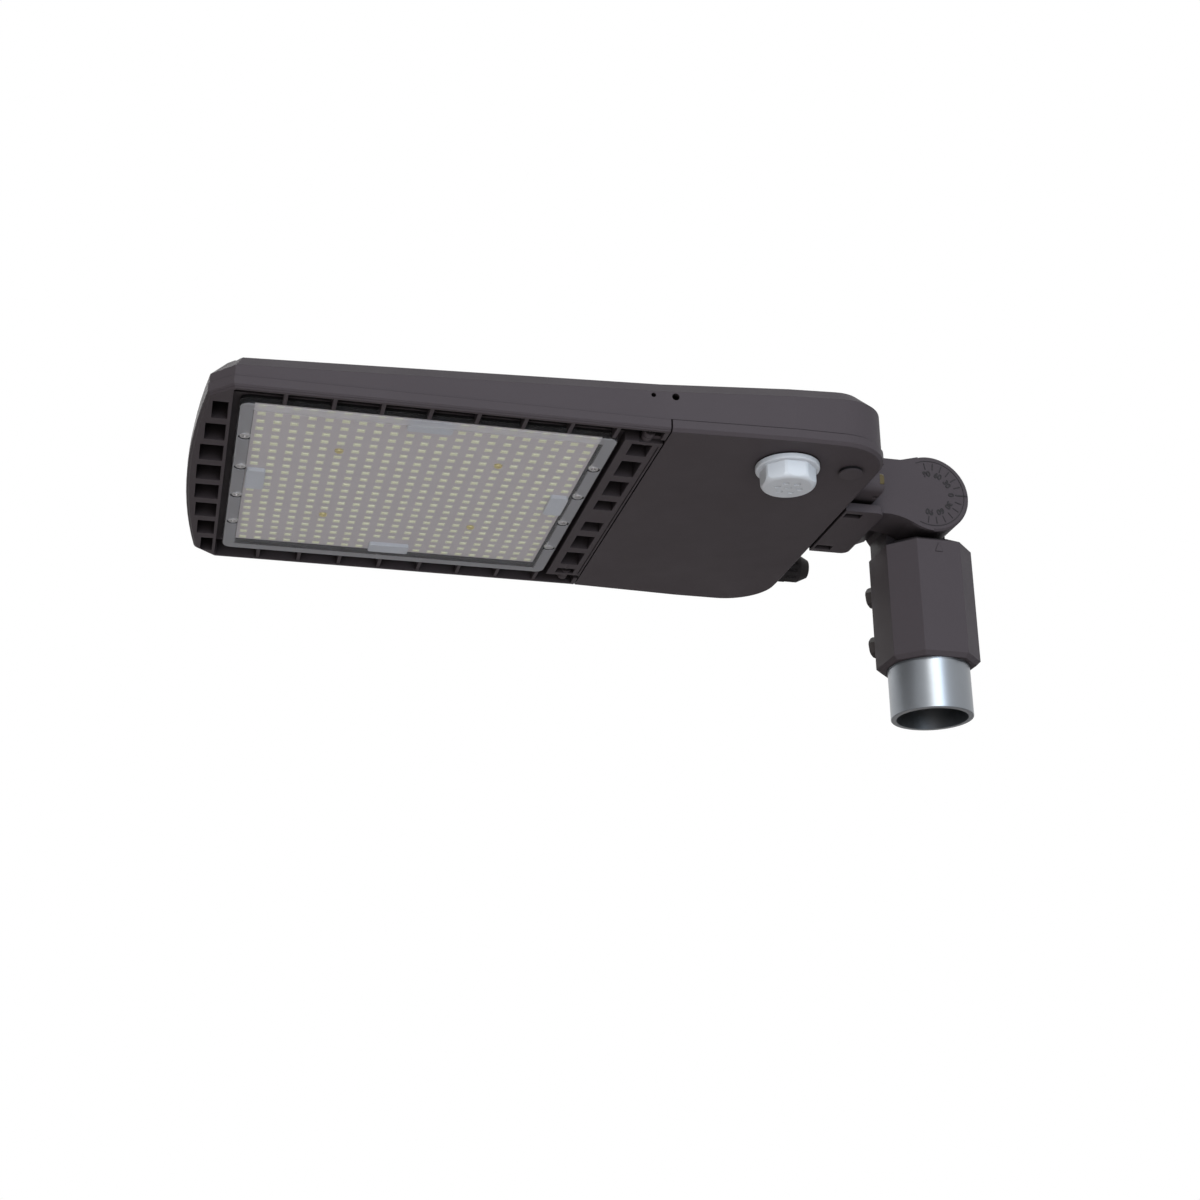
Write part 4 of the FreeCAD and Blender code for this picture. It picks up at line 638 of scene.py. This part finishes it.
class AREALIGHT_OT_degree_scale(bpy.types.Operator):
    """Numbers and ticks of the tilt scale on the arm's disc"""
    bl_idname = "arealight.degree_scale"
    bl_label = "Degree scale"

    def execute(self, context):
        s = sizes()
        centre = Vector(SCALE_CENTRE)
        bm = bmesh.new()
        self.add_numbers(bm, centre, s)
        self.add_ticks(bm, centre, s)
        self.add_ring(bm, centre, s)
        bmesh.ops.recalc_face_normals(bm, faces=bm.faces)
        mesh = bpy.data.meshes.new("degree_scale")
        bm.to_mesh(mesh)
        bm.free()
        new_piece("degree_scale", mesh, "head", scale_marks())
        return {"FINISHED"}

    @staticmethod
    def add_numbers(bm, centre, s):
        for k, label in enumerate(SCALE_LABELS):
            angle = math.radians(FIRST_LABEL_ANGLE - LABEL_STEP * k)
            curve = bpy.data.curves.new("number", "FONT")
            curve.body = label
            curve.size = s.number_height * FONT_FILL
            curve.extrude = s.mark_height
            curve.offset = s.number_weight
            curve.align_x = "CENTER"
            curve.align_y = "CENTER"
            text = bpy.data.objects.new("number", curve)
            bpy.context.collection.objects.link(text)
            bpy.context.view_layer.update()
            mesh = bpy.data.meshes.new_from_object(text)
            spot = centre + Vector((math.cos(angle), 0, math.sin(angle))) * s.number_ring
            turn = Matrix.Rotation(math.pi / 2 - angle, 4, "Y") @ Matrix.Rotation(math.pi / 2, 4, "X")
            mesh.transform(Matrix.Translation(spot) @ turn)
            bm.from_mesh(mesh)
            bpy.data.objects.remove(text)
            bpy.data.meshes.remove(mesh)

    @staticmethod
    def add_ticks(bm, centre, s):
        for k in range(-TICKS_EACH_WAY, TICKS_EACH_WAY + 1):
            angle = math.radians(TICK_STEP * k)
            outer = s.tick_outer
            wide = TICK_HALF_WIDTH
            if k == 0:
                outer = s.scale_ring + ZERO_REACH
                wide = ZERO_HALF_WIDTH
            faces = bevelled_box(bm, s.tick_inner, outer, -s.mark_height, s.mark_height, -wide, wide, 0.0)
            verts = {v for f in faces for v in f.verts}
            turn = Matrix.Translation(centre) @ Matrix.Rotation(-angle, 4, "Y")
            for vert in verts:
                vert.co = turn @ vert.co

    @staticmethod
    def add_ring(bm, centre, s):
        """Fine ring in the disc's face, open towards the arm."""
        inner = s.scale_ring - RING_HALF_WIDTH
        outer = s.scale_ring + RING_HALF_WIDTH
        deep = s.mark_height
        loops = []
        for k in range(RING_STEPS + 1):
            angle = math.radians(RING_HALF_TURN * (2 * k / RING_STEPS - 1))
            loop = []
            for radius, y in ((inner, -deep), (outer, -deep), (outer, deep), (inner, deep)):
                spot = Vector((radius * math.cos(angle), y, radius * math.sin(angle)))
                loop.append(bm.verts.new(centre + spot))
            loops.append(loop)
        for a, b in zip(loops, loops[1:]):
            for i in range(4):
                j = (i + 1) % 4
                bm.faces.new((a[i], a[j], b[j], b[i]))
        bm.faces.new(loops[0][::-1])
        bm.faces.new(loops[-1])


class AREALIGHT_OT_stage(bpy.types.Operator):
    """Floor, world, lamps and the camera at the photograph's angle"""
    bl_idname = "arealight.stage"
    bl_label = "Stage"

    def execute(self, context):
        self.add_floor()
        self.add_world()
        for lamp in LAMPS:
            self.add_lamp(*lamp)
        self.add_camera()
        bpy.context.scene.view_settings.view_transform = "Standard"
        return {"FINISHED"}

    @staticmethod
    def add_floor():
        mesh = bpy.data.meshes.new("floor")
        r = FLOOR_REACH
        z = FLOOR_LEVEL
        mesh.from_pydata([(-r, -r, z), (r, -r, z), (r, r, z), (-r, r, z)], [], [(0, 1, 2, 3)])
        floor = bpy.data.objects.new("floor", mesh)
        bpy.context.collection.objects.link(floor)
        material = bpy.data.materials.new("pale_floor")
        material.use_nodes = True
        tree = Tree(material.node_tree)
        shader = material.node_tree.nodes["Principled BSDF"]
        shader.inputs["Roughness"].default_value = 0.7
        noise = tree.node("ShaderNodeTexNoise", Scale=3.0)
        ramp = tree.node("ShaderNodeMix", data_type="RGBA")
        ramp.inputs["A"].default_value, ramp.inputs["B"].default_value = FLOOR_TONES
        tree.link(noise.outputs["Fac"], ramp.inputs["Factor"])
        tree.link(ramp.outputs["Result"], shader.inputs["Base Color"])
        mesh.materials.append(material)

    @staticmethod
    def add_world():
        world = bpy.data.worlds.new("studio")
        bpy.context.scene.world = world
        world.use_nodes = True
        tree = Tree(world.node_tree)
        back = world.node_tree.nodes["Background"]
        path = tree.node("ShaderNodeLightPath")
        pair = tree.node("ShaderNodeMath", operation="MAXIMUM")
        tree.link(path.outputs["Is Camera Ray"], pair.inputs[0])
        tree.link(path.outputs["Is Transmission Ray"], pair.inputs[1])
        seen = tree.node("ShaderNodeMath", operation="MAXIMUM")
        tree.link(pair.outputs[0], seen.inputs[0])
        tree.link(path.outputs["Is Glossy Ray"], seen.inputs[1])
        level = tree.node("ShaderNodeMapRange", To_Min=SKY_LIGHT, To_Max=SKY_SEEN)
        tree.link(seen.outputs[0], level.inputs["Value"])
        tree.link(level.outputs["Result"], back.inputs["Strength"])
        back.inputs["Color"].default_value = (1.0, 1.0, 1.0, 1.0)

    @staticmethod
    def add_lamp(name, place, target, size, power, tint):
        lamp = bpy.data.lights.new(name, "AREA")
        lamp.energy = power
        lamp.shape = "RECTANGLE"
        lamp.size, lamp.size_y = size
        lamp.color = tint
        lamp_object = bpy.data.objects.new(name, lamp)
        bpy.context.collection.objects.link(lamp_object)
        lamp_object.location = place
        aim = Vector(target) - Vector(place)
        lamp_object.rotation_euler = aim.to_track_quat("-Z", "Y").to_euler()

    @staticmethod
    def add_camera():
        azimuth = math.radians(CAMERA_AZIMUTH)
        elevation = math.radians(CAMERA_ELEVATION)
        roll = math.radians(CAMERA_ROLL)
        ahead = Vector((math.sin(azimuth) * math.cos(elevation), math.cos(azimuth) * math.cos(elevation),
                        math.sin(elevation)))
        right = Vector((math.cos(azimuth), -math.sin(azimuth), 0.0))
        up = right.cross(ahead)
        across = right * math.cos(roll) + up * math.sin(roll)
        upward = up * math.cos(roll) - right * math.sin(roll)
        camera = bpy.data.cameras.new("camera")
        camera.sensor_width = CAMERA_SENSOR
        camera.lens = CAMERA_LENS
        camera.clip_start = 0.05
        camera_object = bpy.data.objects.new("camera", camera)
        bpy.context.collection.objects.link(camera_object)
        turn = Matrix((across, upward, -ahead)).transposed().to_4x4()
        camera_object.matrix_world = Matrix.Translation(CAMERA_PLACE) @ turn
        bpy.context.scene.camera = camera_object


PIECES = (AREALIGHT_OT_castings, AREALIGHT_OT_metal_parts, AREALIGHT_OT_plastic_parts, AREALIGHT_OT_lens,
          AREALIGHT_OT_leds, AREALIGHT_OT_degree_scale, AREALIGHT_OT_stage)


class AREALIGHT_PT_panel(bpy.types.Panel):
    """Lists the pieces of the area light and their settings"""
    bl_idname = "AREALIGHT_PT_panel"
    bl_label = "Area light"
    bl_space_type = "VIEW_3D"
    bl_region_type = "UI"
    bl_category = "Area light"

    def draw(self, context):
        column = self.layout.column()
        for piece in PIECES:
            column.operator(piece.bl_idname)
        for settings in (context.scene.area_light_finish, context.scene.area_light_sizes):
            for name in settings.bl_rna.properties.keys():
                if name not in ("rna_type", "name"):
                    column.prop(settings, name)


CLASSES = (AreaLightFinish, AreaLightSizes) + PIECES + (AREALIGHT_PT_panel,)


def register():
    for item in CLASSES:
        bpy.utils.register_class(item)
    bpy.types.Scene.area_light_finish = PointerProperty(type=AreaLightFinish)
    bpy.types.Scene.area_light_sizes = PointerProperty(type=AreaLightSizes)


def unregister():
    del bpy.types.Scene.area_light_sizes
    del bpy.types.Scene.area_light_finish
    for item in reversed(CLASSES):
        bpy.utils.unregister_class(item)


def main():
    register()
    for piece in PIECES:
        group, name = piece.bl_idname.split(".")
        getattr(getattr(bpy.ops, group), name)()


if __name__ == "__main__":
    main()
